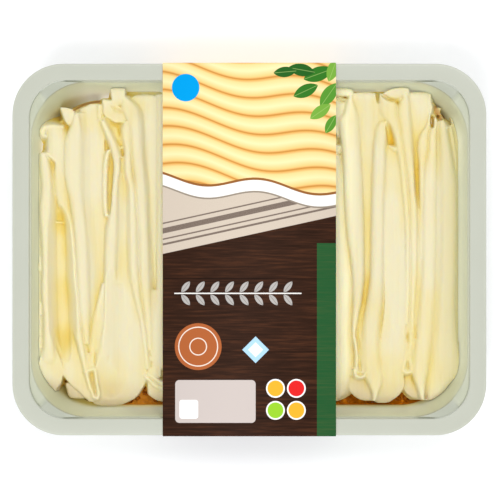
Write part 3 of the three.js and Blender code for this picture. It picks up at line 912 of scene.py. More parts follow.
# %% Draw the left end
left_folds = {
    "wall roll": (SHARP, ROUND, [
        (47, -100.8, -98, 27.5), (43, -100.8, -96.8, 28), (37, -100.5, -95.6, 28),
        (31, -99.9, -95.2, 28.3), (20, -100.8, -95.2, 28.5), (9.5, -100.3, -96, 28.5),
        (-10, -99.6, -96.3, 28.5), (-19.5, -100, -96.3, 28.3), (-34, -99.1, -95.8, 28),
        (-46, -99.1, -94.2, 27.5), (-55.6, -100.8, -92.1, 26.3),
    ]),
    "first ribbon": (SHARP, ROUND, [
        (59.8, -98.8, -89.8, 27.5), (55, -97, -88.3, 28), (45.5, -97.4, -89.2, 28),
        (40.7, -94.3, -89.2, 27.8), (28.6, -94, -87.3, 27), (21.5, -92, -86.4, 27),
        (9.4, -89.2, -84.7, 27.8), (0, -87.4, -84, 28), (-6, -86.6, -83.7, 28.2),
        (-9.5, -88, -83.5, 28.3), (-14.7, -87.8, -83, 28.5), (-22, -85.9, -82.5, 28.5),
        (-36.4, -84.9, -81, 28.3), (-49.4, -82, -79.1, 27.5), (-62.8, -78.7, -77, 26),
        (-68.6, -77, -75.4, 25),
    ]),
    "second ribbon": (SHARP, SOFT, [
        (66.2, -83.3, -82.4, 28.7), (63.8, -84.7, -81.8, 29), (59, -86.4, -80.8, 29.2),
        (53.7, -88.3, -80.3, 29.3), (48, -89, -80.1, 29.3), (38.3, -89, -80.1, 29.3),
        (31, -88, -80.1, 29.3), (25.3, -86.6, -79.9, 29.3), (0, -83.5, -77.5, 29.4),
        (-14.7, -82.8, -77, 29.2), (-26.7, -82, -76.8, 28.9), (-46, -79.2, -77.3, 27.5),
    ]),
    "edge of the eye, then third ribbon": (SHARP, SOFT, [
        (64.2, -72, -70.8, 27.6), (61.5, -71.6, -69, 28.2), (55, -69, -65.6, 28.8),
        (47.4, -66.4, -62.5, 29.2), (43, -65.6, -61.6, 29.4), (39.2, -65.2, -61.8, 29.5),
        (33.5, -65.6, -62.8, 29.5), (26.2, -66.4, -63.2, 29.5), (15.6, -67.6, -63.2, 29.5),
        (9.4, -68.8, -63.2, 29.5), (-10.8, -69.5, -64.2, 29.4), (-34, -70, -66.1, 28.8),
        (-46, -72.4, -66.6, 28.2), (-55.6, -74.3, -68, 27.3), (-62.8, -74.2, -69, 26.3),
        (-67.7, -73.6, -70, 25), (-71, -73.4, -71.4, 23.8),
    ]),
    "outer edge of the eye": (SHARP, ROUND, [
        (48.4, -68, -67.1, 27.8), (45, -69.7, -67.8, 27.6), (40.7, -70.4, -68.3, 27.5),
        (26.2, -70.7, -68.5, 27.5), (20, -70.2, -68.5, 27.6), (15.6, -69.5, -67.8, 27.8),
    ]),
    "flare": (SHARP, SHARP, [
        (-16, -70.7, -69.8, 27.5), (-22, -72.4, -70, 27.5), (-28, -74, -70.7, 27.5),
        (-41.2, -76.5, -72.6, 27), (-47, -76.8, -74, 26.8), (-58, -76.7, -75.3, 26),
    ]),
    "fourth ribbon": (ROUND, SHARP, [
        (62, -60.4, -57.6, 28.5), (57.5, -61.6, -57.2, 28.6), (52.7, -61, -57, 28.8),
        (48, -60, -57, 29), (38.3, -60, -56.4, 29.2), (28.6, -58, -55.1, 29.4),
        (0, -57.8, -53.5, 29.5), (-10, -57.5, -53.2, 29.4), (-19.5, -56.2, -52.4, 29.2),
        (-38.8, -52, -49.8, 28.6), (-58, -49.6, -48, 27.2),
    ]),
    "fifth ribbon": (SHARP, ROUND, [
        (74.4, -61.1, -59.9, 28), (73, -61.8, -58.2, 28.6), (70.5, -61.8, -55.1, 29),
        (68.1, -61.3, -53.1, 29.2), (60, -58.2, -51.5, 29.4), (48, -56.7, -51, 29.5),
        (28.6, -54.6, -49.3, 29.5), (0, -52.9, -48.1, 29.5), (-14.7, -52.4, -47.6, 29.4),
        (-36.4, -49.8, -46.9, 28.4), (-50, -48.2, -46.8, 27.6),
    ]),
    "ribbon at the sleeve": (SHARP, SHARP, [
        (75.4, -44.4, -38, 28), (60, -44.3, -38, 28.7), (-15, -44.3, -38, 29),
        (-36, -46, -38, 28.7), (-58, -47, -38, 27.3),
    ]),
}
left_flats = {
    "strip by the wall": [(45, -103, -97, 24.2), (0, -103, -97, 24), (-52, -103, -97, 23.6)],
    "tongue by the wall": [
        (-43, -98.5, -95.5, 25), (-48, -99.5, -93.8, 25.5), (-53, -100.8, -91.8, 25.7),
        (-57, -101.8, -90.7, 25), (-62.8, -100.8, -91.1, 23.4),
        (-67.2, -96.5, -92.8, 22.2), (-68.8, -94.5, -93.1, 21.8),
    ],
    "side of the pouch": [
        (-42, -84.5, -83, 24.2), (-48.4, -87.6, -81.5, 24.4), (-54, -90.2, -80, 24.5),
        (-59, -90.2, -78.7, 24.3), (-62.4, -88.3, -77.7, 24), (-68.6, -82, -75.8, 23.3),
        (-74, -76.7, -75.3, 21.8),
    ],
    "scrap": [(-64.5, -88.5, -86, 22), (-70, -87.3, -80.5, 21), (-72.5, -86, -78.5, 20.4)],
    "flap of the second ribbon": [
        (68.8, -91, -90, 28), (67.2, -90.2, -85, 28.4), (63.3, -89, -85.2, 28.4),
        (59.8, -87, -86.6, 27.5),
    ],
    "long trough": [
        (70.6, -76.2, -73.5, 24.5), (69.1, -78.7, -72.7, 25), (67.2, -81.5, -72.4, 25.3),
        (55, -80.1, -70.5, 25.6), (23.8, -79.1, -70, 25.4), (4.6, -77.7, -69, 25),
        (-10, -77.2, -69.5, 24.5), (-19.5, -76.7, -71.5, 24), (-29.6, -75.5, -74, 23.4),
    ],
    "filling by the far wall": [(77.2, -64, -38, 21.5), (70, -64, -38, 22)],
    "floor beside the flare": [
        (-44, -80, -76, 26), (-52, -79.5, -75.5, 26.3), (-58, -78.5, -74.5, 26),
    ],
    "floor behind the flare": [
        (-22, -72, -69, 26.8), (-34, -75, -69, 27), (-46, -76, -71, 26.8), (-58, -75.5, -73, 26),
    ],
    "floor of the eye": [(48, -68, -65.5, 25), (33, -69, -65.5, 24.5), (15, -69, -66, 25)],
    "thin strip": [(70.3, -72.6, -71.4, 26.5), (62, -72.6, -71.2, 26.5)],
    "fold under the flap": [
        (73.4, -70.2, -69, 27.8), (72, -70.3, -67.3, 28), (69.6, -70.4, -64.2, 28.2),
        (67.2, -70.2, -61.1, 28), (64.8, -69.4, -60, 27.6), (62.8, -66.8, -60.2, 27.6),
        (61, -64, -60.4, 27.6),
    ],
    "flap": [(78.2, -66.4, -60.2, 28.6), (73, -66, -60.6, 28.8), (69.5, -65, -62, 28)],
    "floor of the ragged hollow": [
        (60.5, -67, -60, 25.5), (55, -65.5, -61.5, 26.2), (47, -62.5, -60.5, 27),
    ],
    "trough that widens to a lobe": [
        (39.4, -61.5, -60.2, 25), (33.5, -62.5, -59.4, 25.3), (26.2, -63, -58, 25.5),
        (0, -63.5, -58, 26), (-19.5, -64.7, -57, 27), (-34, -66.1, -53.6, 27.4),
        (-46, -66.6, -51.2, 27.3), (-55.6, -68, -50.3, 26.6), (-62, -70, -50.3, 25),
        (-69, -72.4, -53.4, 23), (-72, -74.3, -56, 22), (-74.4, -74.8, -60.4, 20.8),
        (-76.2, -71.9, -64.7, 19.8),
    ],
    "flat by the sleeve": [
        (75.1, -55.5, -45, 25.2), (72, -56.5, -44.5, 26), (67.2, -53, -44.2, 26.2),
        (0, -48.8, -44.2, 25.5), (-12.3, -48, -44.5, 25), (-20.5, -47.1, -45.7, 24.4),
    ],
    "flat by the sleeve, lower": [
        (-19, -47.5, -43, 27), (-24, -48.5, -43, 27.6), (-39, -48.3, -43, 27.8),
        (-62, -48.5, -43, 26.3),
    ],
    "lobe by the sleeve": [
        (-63, -48.8, -38, 24.3), (-69.5, -48.5, -38, 22.8), (-73.8, -43.5, -38, 20.8),
    ],
}
left_hollows = [
    (CUT, [(-98.9, 52.6, 23.6), (-98.8, 49, 23.4)], [1.4, 1.8]),
    (SHARP, [(-94, 63.6, 22), (-91, 62.7, 23.5)], [1.4, 0.9]),
    (SHARP, [(-96.3, 44.4, 25.6), (-94.7, 41.3, 24.8), (-94.5, 37.3, 25.8)], [0.4, 1, 0.5]),
    (ROUND, [(-91.9, 19.5, 24.2), (-91.7, 15, 22.8), (-91.4, 10, 22.5), (-91, -5, 22),
             (-90.9, -13, 21.8), (-90.3, -25, 21.4), (-89.9, -38, 21.4), (-88.4, -52, 24.2)],
     [1, 2.4, 3.6, 4.2, 4.2, 4.8, 5, 4]),
    (SHARP, [(-71.2, 70, 25.3), (-71, 63, 25.6)], [0.3, 0.3]),
    (CUT, [(-70.3, 73.6, 20), (-67.2, 72.9, 22)], [0.9, 0.6]),
    (SHARP, [(-71.9, 58.8, 25.6), (-70.5, 55.6, 25.4), (-68.8, 52, 25.6)], [0.5, 0.8, 0.4]),
    (CUT, [(-67.1, 46.5, 25.6), (-66.6, 42.1, 24.6), (-66.9, 37.3, 24.4), (-67.2, 32.5, 24.4),
           (-67.4, 27.7, 24.4), (-67.5, 22.4, 24.8), (-67.6, 17.1, 25.8)],
     [0.4, 1.5, 2, 2, 1.6, 1.3, 0.4]),
    (CUT, [(-65.3, 59.9, 25), (-63.6, 59.4, 24.8), (-62.9, 57.2, 25), (-62.7, 55, 25.4)],
     [0.6, 1.3, 1.1, 0.4]),
    (ROUND, [(-66.3, 69, 27.4), (-63.8, 67, 26.9), (-61.3, 66.2, 27.2)], [0.4, 1.4, 0.4]),
    (SHARP, [(-65.5, 55.5, 26.6), (-63.6, 52.6, 26), (-62, 50.2, 25.5)], [0.6, 0.9, 0.6]),
    (CUT, [(-61.4, 48, 24.9), (-61.1, 45.6, 24.9)], [0.8, 0.9]),
    (SHARP, [(-61.6, 44, 26), (-61.4, 37.5, 26)], [0.3, 0.3]),
    (0.35, [(-62.8, -17, 26.4), (-63.2, -38, 26), (-62.8, -58, 25), (-66, -66, 22.8),
            (-67, -70, 21.3)], [0.6, 0.8, 1, 1, 1]),
    (CUT, [(-78.1, -46.3, 25.4), (-77.7, -49.3, 25)], [0.6, 1]),
    (SHARP, [(-74.4, -49, 25.8), (-74.5, -53, 25.3), (-74.6, -56.5, 25.3)], [0.3, 0.6, 0.3]),
    (CUT, [(-75.9, -61.3, 23.4), (-75.5, -64, 23.2), (-74.8, -67.5, 23), (-74.5, -69.4, 23.2)],
     [2.8, 2.2, 1.3, 0.6]),
    (SHARP, [(-89.4, -63.3, 21.5), (-90, -65.6, 20.5), (-90.6, -68.5, 19)], [0.4, 1.8, 4.2]),
    (SHARP, [(-48, -49, 26), (-47.6, -51, 26)], [0.4, 0.4]),
    (SHARP, [(-47.2, -54.3, 25.6), (-47.3, -56.3, 25.6)], [0.4, 0.4]),
]
left_stains = [
    ([(-84.6, 67.4, 1), (-82, 69.3, 1), (-79.3, 70.7, 1), (-73.3, 71.9, 1)], [1.6, 1.8, 1.8, 1.8]),
    ([(-92, 62.8, 1), (-90.4, 62.4, 1)], [0.8, 0.6]),
]
left_curls = [
    ([(-90.2, 59.2, 27.8), (-95, 59.5, 28), (-98.4, 59, 28), (-99.8, 57, 27.5), (-99.3, 55.1, 26.8),
      (-97.9, 54.7, 26.5)], [1.6, 2.2, 2.6, 2.9, 2.4, 1.5]),
    ([(-97.8, 46.6, 27.8), (-95.8, 44.8, 28), (-93.6, 43, 28)], [1, 1.5, 1.5]),
    ([(-93.1, 13.2, 24.4), (-90.2, 13, 24.4)], [1, 1]),
    ([(-101, -4, 25.2), (-101.1, -9.5, 25.4)], [2.4, 2.4]),
    ([(-101.1, -26, 25), (-101.1, -31, 25)], [2.4, 2.4]),
    ([(-101.3, -43, 24.8), (-101.4, -47, 24.8)], [2.4, 2.4]),
    ([(-66.5, 57, 27), (-64.9, 53.5, 27.4), (-63.4, 49.8, 27.4)], [1, 1.2, 1]),
    ([(-79.2, -59, 26.8), (-77, -58.2, 26.8), (-74.8, -57.4, 27)], [1.8, 2, 1.8]),
    ([(-74.3, -59, 27), (-73.6, -65, 26), (-72.9, -69.5, 25), (-73.5, -71.8, 24.5),
      (-75, -71.3, 24.5), (-76.3, -68, 25), (-77.6, -63.5, 26), (-78.6, -58.5, 26.8)],
     [1.6, 1.6, 1.8, 2, 1.8, 1.6, 1.5, 1.5]),
    ([(-50.4, -61.4, 26.2), (-47.8, -63.3, 26), (-45, -65.7, 25.6), (-41.6, -66.9, 25.3),
      (-38, -67.2, 25)], [1.6, 2, 2.2, 2.4, 2.4]),
    ([(-48.8, -60, 26.8), (-45.9, -61.9, 26.8), (-43, -63.8, 26.5), (-38, -65.4, 26.3)],
     [1.6, 1.8, 2, 2]),
]
left_end = (left_folds, left_flats, left_hollows, left_curls, left_stains)
print("left end:", [len(part) for part in left_end], "folds, flats, hollows, curls and stains")

# %% [markdown]
# The right end comes next: a sheet and a ribbon by the sleeve, an arched ribbon, one that leans out,
# a tall crest, and thin leaves along the wall. Its rows are written in the same way.

# %% Draw the right end
right_folds = {
    "sheet by the sleeve": (SHARP, ROUND, [
        (46, 38, 43.8, 27), (28.6, 38, 45.3, 27.4), (14, 38, 46.3, 27.4), (0, 38, 48, 27.4),
        (-14.7, 38, 49.8, 27.4), (-38.8, 38, 49.5, 27), (-56, 38, 50, 25.8), (-61, 38, 49, 24.8),
        (-66, 38, 48, 23.5), (-70, 38, 46.5, 22.3), (-74, 38, 42, 20.3),
    ]),
    "first ribbon": (SHARP, SHARP, [
        (73, 47.6, 49.6, 28.5), (69.6, 46.4, 50.9, 28.8), (66.2, 45.6, 52, 29),
        (62.4, 43, 52.8, 29), (57.5, 43.6, 53, 29.2), (48, 45.1, 53.5, 29.4),
        (38.3, 45.8, 54, 29.5), (23.8, 46.3, 54.5, 29.5), (7, 47.5, 55, 29.5),
        (-12.3, 49.9, 55.2, 29.3), (-24.3, 50.2, 54.2, 29), (-38.8, 49.7, 51.8, 28.4),
        (-51.8, 51.1, 53, 27.5), (-59.5, 50.9, 52.3, 26.5),
    ]),
    "arched ribbon": (SHARP, ROUND, [
        (62.1, 63.3, 66.8, 28.2), (59.5, 61.5, 66.8, 28.7), (55.1, 60.7, 66.5, 29),
        (48, 60, 65.8, 29.3), (23.8, 59.3, 65.1, 29.5), (-10, 58.8, 64.6, 29.4),
        (-24.3, 57.1, 64.1, 29), (-34, 55.2, 63.4, 28.6), (-43.6, 54.3, 62.9, 28.2),
        (-52.2, 54, 63.4, 27.7), (-61.4, 56, 64.9, 26.5), (-64.8, 57.7, 64.3, 26),
        (-68.1, 59.1, 63.1, 25.2), (-71, 59.8, 61.8, 24.4), (-73.4, 60, 60.8, 23.6),
    ]),
    "ribbon that leans out": (SHARP, SHARP, [
        (75.4, 62.7, 63.9, 27.6), (73.4, 62.9, 66.8, 28), (71, 62.9, 70.6, 28.3),
        (68.1, 62.7, 72, 28.5), (65.2, 63.6, 72, 28.7), (62.4, 65.8, 72.5, 28.9),
        (59, 68.5, 73, 29), (48.9, 71.1, 74.5, 29), (31, 73.5, 76.4, 29), (4.6, 75.4, 77.6, 28.8),
        (-19.5, 75.4, 77.4, 28.4), (-36.4, 75.4, 76.4, 27.8),
    ]),
    "tall crest": (SHARP, ROUND, [
        (73, 73.5, 76.9, 28.8), (69.6, 72.3, 77.4, 29.2), (66.2, 71.8, 77.6, 29.4),
        (60, 72.6, 78.1, 29.5), (43, 75.2, 79.3, 29.5), (23.8, 77.1, 80.7, 29.4),
        (9.4, 77.6, 81.2, 29.2), (-10, 77.8, 81, 28.8), (-24.3, 77.6, 80.2, 28.3),
        (-39.7, 77.8, 79, 27.3),
    ]),
    "thin leaf": (SHARP, ROUND, [
        (65.7, 87, 87.9, 28), (60, 85.5, 87.5, 28.4), (57, 83.4, 87, 28.7), (53.7, 81.9, 86.5, 29),
        (48.9, 81.4, 86.3, 29), (44, 81.7, 85.3, 28.8), (39.2, 82.2, 84.3, 28.5),
        (16.6, 82.4, 84.1, 28), (-5, 82.2, 83.9, 28),
    ]),
    "inner leaf": (SHARP, SOFT, [
        (64, 89.6, 90.4, 27.8), (61.9, 88.7, 91.1, 28.2), (58.5, 87.7, 90.6, 28.8),
        (55.1, 86.8, 90.4, 29.2), (48.9, 86.5, 90.4, 29.4), (44, 85.5, 90.4, 29.5),
        (38.3, 84.1, 90.4, 29.5), (9.4, 83.6, 90.4, 29.5), (-10, 83.4, 89.9, 29.4),
        (-34, 81.4, 88.9, 29), (-52.2, 79.5, 87.5, 28.2), (-58, 78.8, 86.8, 27.6),
        (-61.9, 79.5, 85.8, 27), (-65.7, 81, 85.3, 26.2), (-71.5, 82.9, 84.8, 24.5),
        (-73, 83.6, 84.6, 24),
    ]),
    "outer leaf": (SOFT, SHARP, [
        (64.8, 92.5, 93.4, 27.5), (61.9, 91.8, 94.7, 28), (58.5, 91.8, 95.2, 28.5),
        (45.5, 92, 97.3, 29.3), (28.6, 92.3, 99.5, 29.4), (9.4, 92.3, 99.5, 29.4),
        (-10, 91.8, 99.3, 29.3), (-29, 90.8, 99, 29.1), (-41.2, 89.9, 99.5, 28.8),
        (-54.2, 88.4, 101, 27.8), (-58, 87.7, 100.7, 27.2), (-60.9, 87, 100, 26.5),
        (-63.8, 86.5, 97.6, 25.8), (-66.7, 86.2, 95.4, 25), (-69.6, 86, 93.2, 24),
        (-73.2, 86.2, 88.4, 22),
    ]),
}
right_flats = {
    "strip by the wall": [
        (61, 94.5, 96.8, 24), (52.7, 95.5, 98.6, 24.3), (43, 97, 99.6, 24), (30, 98, 100, 23.8),
        (-45, 98, 100.3, 23.5), (-58, 99, 101.2, 23),
    ],
    "ear at the sleeve": [(78.4, 38, 48.2, 27.8), (76, 38, 49.5, 28.3), (73.6, 38, 49.7, 28)],
    "fold under the ear": [
        (73.6, 38, 46.8, 25.4), (72, 38, 46.6, 26.8), (66, 38, 46, 27.5), (58, 38, 43, 27.4),
        (53.4, 38, 42, 27.2),
    ],
    "joint above the arch": [(71, 60, 65, 26.9), (63, 60, 66, 27.2), (60, 60, 62.5, 26.8)],
    "tab at the sleeve": [(50.8, 38, 43, 27.5), (47.5, 38, 43.5, 27.5), (45.5, 38, 42, 27)],
    "trough": [
        (76.3, 51.4, 59.9, 26.4), (74.4, 50, 61, 26.9), (72, 50.4, 61, 27), (68.1, 52.3, 62.2, 27),
        (62.4, 53, 61.5, 27), (52.7, 53.5, 60.3, 26.8), (40.7, 54, 59.8, 26.4),
        (23.8, 54.5, 59, 26), (-10, 55.2, 58.6, 25.3), (-17, 55.7, 57.5, 25.3),
        (-23.4, 55.3, 56.8, 25.3), (-30, 54.3, 56, 25.7), (-39, 53.4, 55, 26),
    ],
    "wide ribbon": [
        (50, 66.8, 69.4, 26.4), (45.5, 65.8, 71.4, 26.8), (40.7, 65.8, 72.4, 27.1),
        (23.8, 65.6, 74, 27.7), (-24.3, 65.8, 75.2, 28), (-48.4, 63.6, 74, 27.3),
        (-55.6, 64.4, 73.5, 26.6), (-60.4, 64.8, 74, 25.4), (-65.2, 63.9, 74.5, 24),
        (-68.1, 62.4, 73.5, 23), (-71, 61, 71.3, 21.9), (-74.6, 61.9, 66.3, 20),
    ],
    "ear at the top": [
        (78.4, 71.6, 75.6, 28.8), (77.3, 68.7, 76.4, 28.9), (75.8, 66, 76.6, 28.5),
        (74.4, 65, 76.6, 27.8), (73, 67, 76.6, 27.2), (71.5, 71.5, 76.7, 27),
    ],
    "top trough": [
        (76.4, 77.8, 87, 26.5), (73.9, 77.1, 87.2, 27), (66.2, 77.6, 87.4, 27),
        (62.4, 77.8, 86.5, 26.9), (57.5, 78.3, 83.6, 26.6), (50.3, 78.6, 81.5, 26),
        (43, 79.3, 81.8, 25.8), (36, 79.8, 82.1, 25.4), (28, 80.2, 82.5, 25.2),
        (19, 80.6, 83, 26.2),
    ],
    "seam of the leaves": [
        (58, 89.6, 92.4, 26.9), (30, 89.8, 92.8, 27.8), (-30, 88.4, 91.8, 27.5), (-62, 86, 88, 24.6),
    ],
    "filling by the far wall": [(77.2, 38, 86, 21.5), (70, 38, 86, 22)],
    "floor of the torn corner": [
        (69, 88.3, 92.2, 22), (66, 88.3, 93.6, 22.3), (60, 88.3, 94.5, 22.6),
    ],
    "filling between folds": [
        (20, 80, 83.5, 27), (0, 80, 83.5, 27.4), (-24, 78.5, 82.5, 27.2), (-36, 75, 81, 27),
        (-50, 74.2, 80, 26.7), (-60, 74, 79.5, 25.4),
    ],
    "lobe with a scoop": [
        (-61.6, 50.8, 56.3, 22.6), (-63.5, 49.4, 57.3, 22.3), (-65.2, 48.8, 58.4, 22),
        (-67.7, 48.9, 59.4, 21.7), (-70, 50.4, 60, 21.2), (-72, 52.8, 60.4, 20.7),
        (-73.5, 55.2, 60.6, 20),
    ],
    "second lobe with a scoop": [
        (-60.8, 76.4, 79.4, 22.6), (-64.4, 75.2, 81, 22.2), (-67.7, 75.5, 82.6, 21.6),
        (-70.5, 77.4, 84, 21), (-72.5, 80.6, 84.6, 20.2),
    ],
    "floor by the narrow ridge": [
        (-26, 54.6, 56, 25.5), (-34, 52.8, 55, 26.2), (-44, 51, 55, 26.8), (-60, 51, 55.5, 25.8),
    ],
}
right_hollows = [
    (SHARP, [(38, 73.5, 25.5), (42, 72.8, 25), (44.6, 71.9, 25), (46.2, 71.6, 26)],
     [0.6, 0.8, 0.8, 0.4]),
    (CUT, [(41.4, 56, 25), (41.9, 53.5, 23.5), (42.3, 51.4, 23.5)], [0.4, 1.2, 1.2]),
    (CUT, [(62, 76, 22), (61.9, 73.5, 23.2), (62, 70.8, 25)], [1.4, 1, 0.4]),
    (SHARP, [(63.4, 74.9, 26), (65.3, 73.7, 25.4), (68, 72.5, 25.2), (71, 72.1, 25.5),
             (72.3, 72.9, 26.6)], [0.5, 0.8, 0.8, 0.7, 0.4]),
    (CUT, [(66, 59.2, 26.2), (66.9, 55.4, 25.5), (67.8, 52, 24.8)], [0.6, 1.2, 1.8]),
    (SHARP, [(79.7, 45.6, 26.3), (80.3, 41, 25.4), (80.8, 35.7, 24.9), (81.1, 28.5, 24.8),
             (81.4, 21.3, 26)], [0.3, 0.6, 0.9, 0.8, 0.3]),
    (CUT, [(89.6, 68.4, 22.5), (91, 66, 23), (92.6, 63.6, 23.4)], [3, 3.6, 1.6]),
    (CUT, [(88.3, 65.4, 22), (88.2, 62, 22), (88.2, 59.2, 23.5)], [0.6, 0.8, 0.4]),
    (CUT, [(91.1, 64.4, 20), (91.2, 62.2, 24)], [1, 0.4]),
    (CUT, [(93.4, 66.8, 14), (95.4, 63.6, 14), (96.8, 61.2, 16)], [0.7, 1.3, 0.7]),
    (SHARP, [(74.9, 2.2, 26.8), (74.9, -0.2, 26.8)], [0.3, 0.3]),
    (SHARP, [(52.6, -36, 26.3), (52, -41, 25.5), (52.9, -46.5, 25.5), (53.1, -52, 25.6),
             (53.4, -57, 24.6), (53.7, -59, 24.8)], [0.4, 0.7, 0.7, 0.4, 0.8, 0.6]),
    (SHARP, [(76.7, -38.5, 26.4), (76.4, -42, 25.4), (76.4, -45, 26)], [0.2, 0.6, 0.2]),
    (SHARP, [(80.1, -36.5, 26.3), (80.2, -42.5, 26)], [0.4, 0.6]),
    (CUT, [(78.3, -48.8, 26), (78.4, -52.5, 25.6)], [0.3, 0.5]),
    (CUT, [(76.4, -54, 25), (76.4, -57.2, 24.6)], [0.6, 1.2]),
    (CUT, [(78.3, -61.3, 21.3), (79.1, -64, 21.3), (80.2, -66.4, 21.4)], [0.5, 0.7, 0.3]),
    (SHARP, [(85.7, -65, 23.6), (85.6, -69, 21.8), (85.7, -72, 20)], [0.2, 0.3, 0.4]),
]
right_stains = [
    ([(90, 68.6, 0.75), (91.4, 65.4, 0.75), (92.6, 63, 0.75)], [3.4, 3.6, 2.4]),
]
right_curls = [
    ([(48.8, 74.5, 28.3), (49, 71.5, 28.5)], [1.8, 2]),
    ([(75.2, 74.5, 28.8), (75.4, 71, 28.9)], [2.6, 3]),
    ([(70.3, 48.5, 28.3), (68.6, 49.4, 28), (67.2, 50, 27.6)], [2.4, 1.6, 0.6]),
    ([(87.4, 75.5, 27.2), (87.1, 71, 27.2), (88, 68.5, 27.2), (87.3, 65.5, 27.6)],
     [0.9, 0.9, 1, 0.9]),
    ([(94.6, 60.3, 27.6), (95.2, 58.8, 28)], [0.6, 1.2]),
    ([(50.7, -58, 26.8), (51.5, -60.9, 26.5), (53.5, -61.7, 26.4), (55.3, -61.2, 26.5),
      (56, -59.5, 26.8)], [1.7, 1.6, 1.5, 1.6, 1.5]),
    ([(77.8, -40, 27.3), (78, -44, 27.5), (77.5, -48, 27.3)], [1.6, 2.2, 1.6]),
    ([(75.9, -50.8, 27), (74.7, -55.1, 26.8), (74.2, -58, 26.5), (76.2, -59.5, 26.2),
      (78.3, -58.5, 26.5), (78.1, -55.1, 26.8), (77.1, -51.8, 27)],
     [1.2, 1.4, 1.7, 1.8, 1.7, 1.4, 1.2]),
]
right_end = (right_folds, right_flats, right_hollows, right_curls, right_stains)
print("right end:", [len(part) for part in right_end], "folds, flats, hollows, curls and stains")

# %% [markdown]
# ## Joining the ribbons
# All ribbons of an end lie on one level bed of mash with a round outline. Their heights and the
# bed's flow together by a soft maximum, and the nozzle leaves faint lines on the result.

# %% Let ribbons flow together
BLEND = 0.25
VOXEL = 0.36
SOFTEN = 2
BED_SIDE = 6.0
BED_TOP = 23.6
BED_X = (-98.9, 97.6)
BED_Y = (-60.9, 70.1)
BED_CORNER = 27.0
SLEEVE_CUT = (-38.2, 39.2)
HOLLOW_LEVEL = 0.33
HOLLOW_DEPTH = 8
LOW_SHARE = 0.17


def bed_height(xs, ys, top):
    """The bed of mash under the ribbons: level, with round corners and a soft steep edge."""
    middle_x, middle_y = sum(BED_X) / 2, sum(BED_Y) / 2
    past_x = np.abs(xs[None] - middle_x) - (BED_X[1] - middle_x - BED_CORNER)
    past_y = np.abs(ys[:, None] - middle_y) - (BED_Y[1] - middle_y - BED_CORNER)
    out = np.hypot(np.maximum(past_x, 0), np.maximum(past_y, 0)) - BED_CORNER
    return top - BED_SIDE * np.maximum(out, 0)


def soft_maximum(heights):
    """The highest of several heights, flowing together where they are nearly equal."""
    joined = heights[0] / BLEND
    for height in heights[1:]:
        joined = np.logaddexp(joined, height / BLEND)
    return joined * BLEND


def nozzle_lines(x, y):
    """Faint lines along the ribbons and slow dents, in millimetres."""
    lines = (
        np.sin(2.9 * x + 1.1 * np.sin(y / 19 + x / 6))
        + 0.8 * np.sin(4.7 * x + 0.9 * np.sin(y / 13 - x / 5) + 1.0)
        + 0.6 * np.sin(7.3 * x + 0.7 * np.sin(y / 23) + 2.0)
    )
    dents = np.sin(x / 2.6 + 0.7) * np.sin(y / 5.2 + x / 9) + np.sin(x / 4.1 - y / 11.0 + 2.0)
    return 0.035 * lines + 0.1 * dents


print(f"the bed reaches from x {BED_X[0]} to {BED_X[1]} mm")

# %% [markdown]
# The heights become one closed body: their surface on top, the mince and the sloping wall below,
# and sides where the mash ends. A voxel remesh gives that body even faces, also down its sides, and
# a little smoothing softens it. A decimation then takes faces away where the mash is flat.


# %% Build a body from heights
def body_of_heights(xs, ys, heights):
    """Points and faces of a closed body between the heights and what the mash lies on."""
    x, y = np.meshgrid(xs, ys)
    under = np.maximum(MASH_FOOT - dip(x, y), wall_height(x, y, FOOD_GAP))
    solid = heights > under + 0.5
    cells = solid[:-1, :-1] & solid[1:, :-1] & solid[:-1, 1:] & solid[1:, 1:]
    for _ in range(4):
        a, b, c, d = cells[:-1, :-1], cells[:-1, 1:], cells[1:, :-1], cells[1:, 1:]
        lone = (a & d & ~b & ~c) | (b & c & ~a & ~d)
        for part in (a, b, c, d):
            part |= lone
    tops = np.column_stack([x.ravel(), y.ravel(), heights.ravel()])
    feet = np.column_stack([x.ravel(), y.ravel(), np.minimum(under, heights - 0.3).ravel()])
    total, wide = x.size, len(xs)
    row, column = np.nonzero(cells)
    a = row * wide + column
    quads = np.stack([a, a + 1, a + wide + 1, a + wide], -1)
    faces = [quads, quads[:, ::-1] + total]
    framed = np.pad(cells, 1)
    for step, (p, q) in {(-1, 0): (0, 1), (0, 1): (1, 2), (1, 0): (2, 3), (0, -1): (3, 0)}.items():
        beside = framed[row + 1 + step[0], column + 1 + step[1]]
        edge = quads[~beside]
        faces.append(np.stack([edge[:, q], edge[:, p], edge[:, p] + total, edge[:, q] + total], -1))
    faces = np.vstack(faces)
    used, renamed = np.unique(faces, return_inverse=True)
    return np.vstack([tops, feet])[used], renamed.reshape(faces.shape).tolist()


def baked(piece, *modifiers):
    """Applies modifiers, each a type with its settings, and leaves the plain result."""
    for kind, settings in modifiers:
        modifier = piece.modifiers.new(kind.lower(), kind)
        for name, value in settings.items():
            setattr(modifier, name, value)
    bpy.context.view_layer.update()
    evaluated = piece.evaluated_get(bpy.context.evaluated_depsgraph_get())
    mesh = bpy.data.meshes.new_from_object(evaluated)
    piece.modifiers.clear()
    piece.data = mesh


print(f"the remesh has voxels of {VOXEL} mm")

# %% [markdown]
# The colour of mash depends on how deep in a fold a place lies, so that is worked out from the
# finished body: its height is compared with the mean height round it. Stains are marked as well.


# %% Make one piece of mash
def places_of(mesh):
    places = np.empty(len(mesh.vertices) * 3)
    mesh.vertices.foreach_get("co", places)
    return places.reshape(-1, 3) / MM


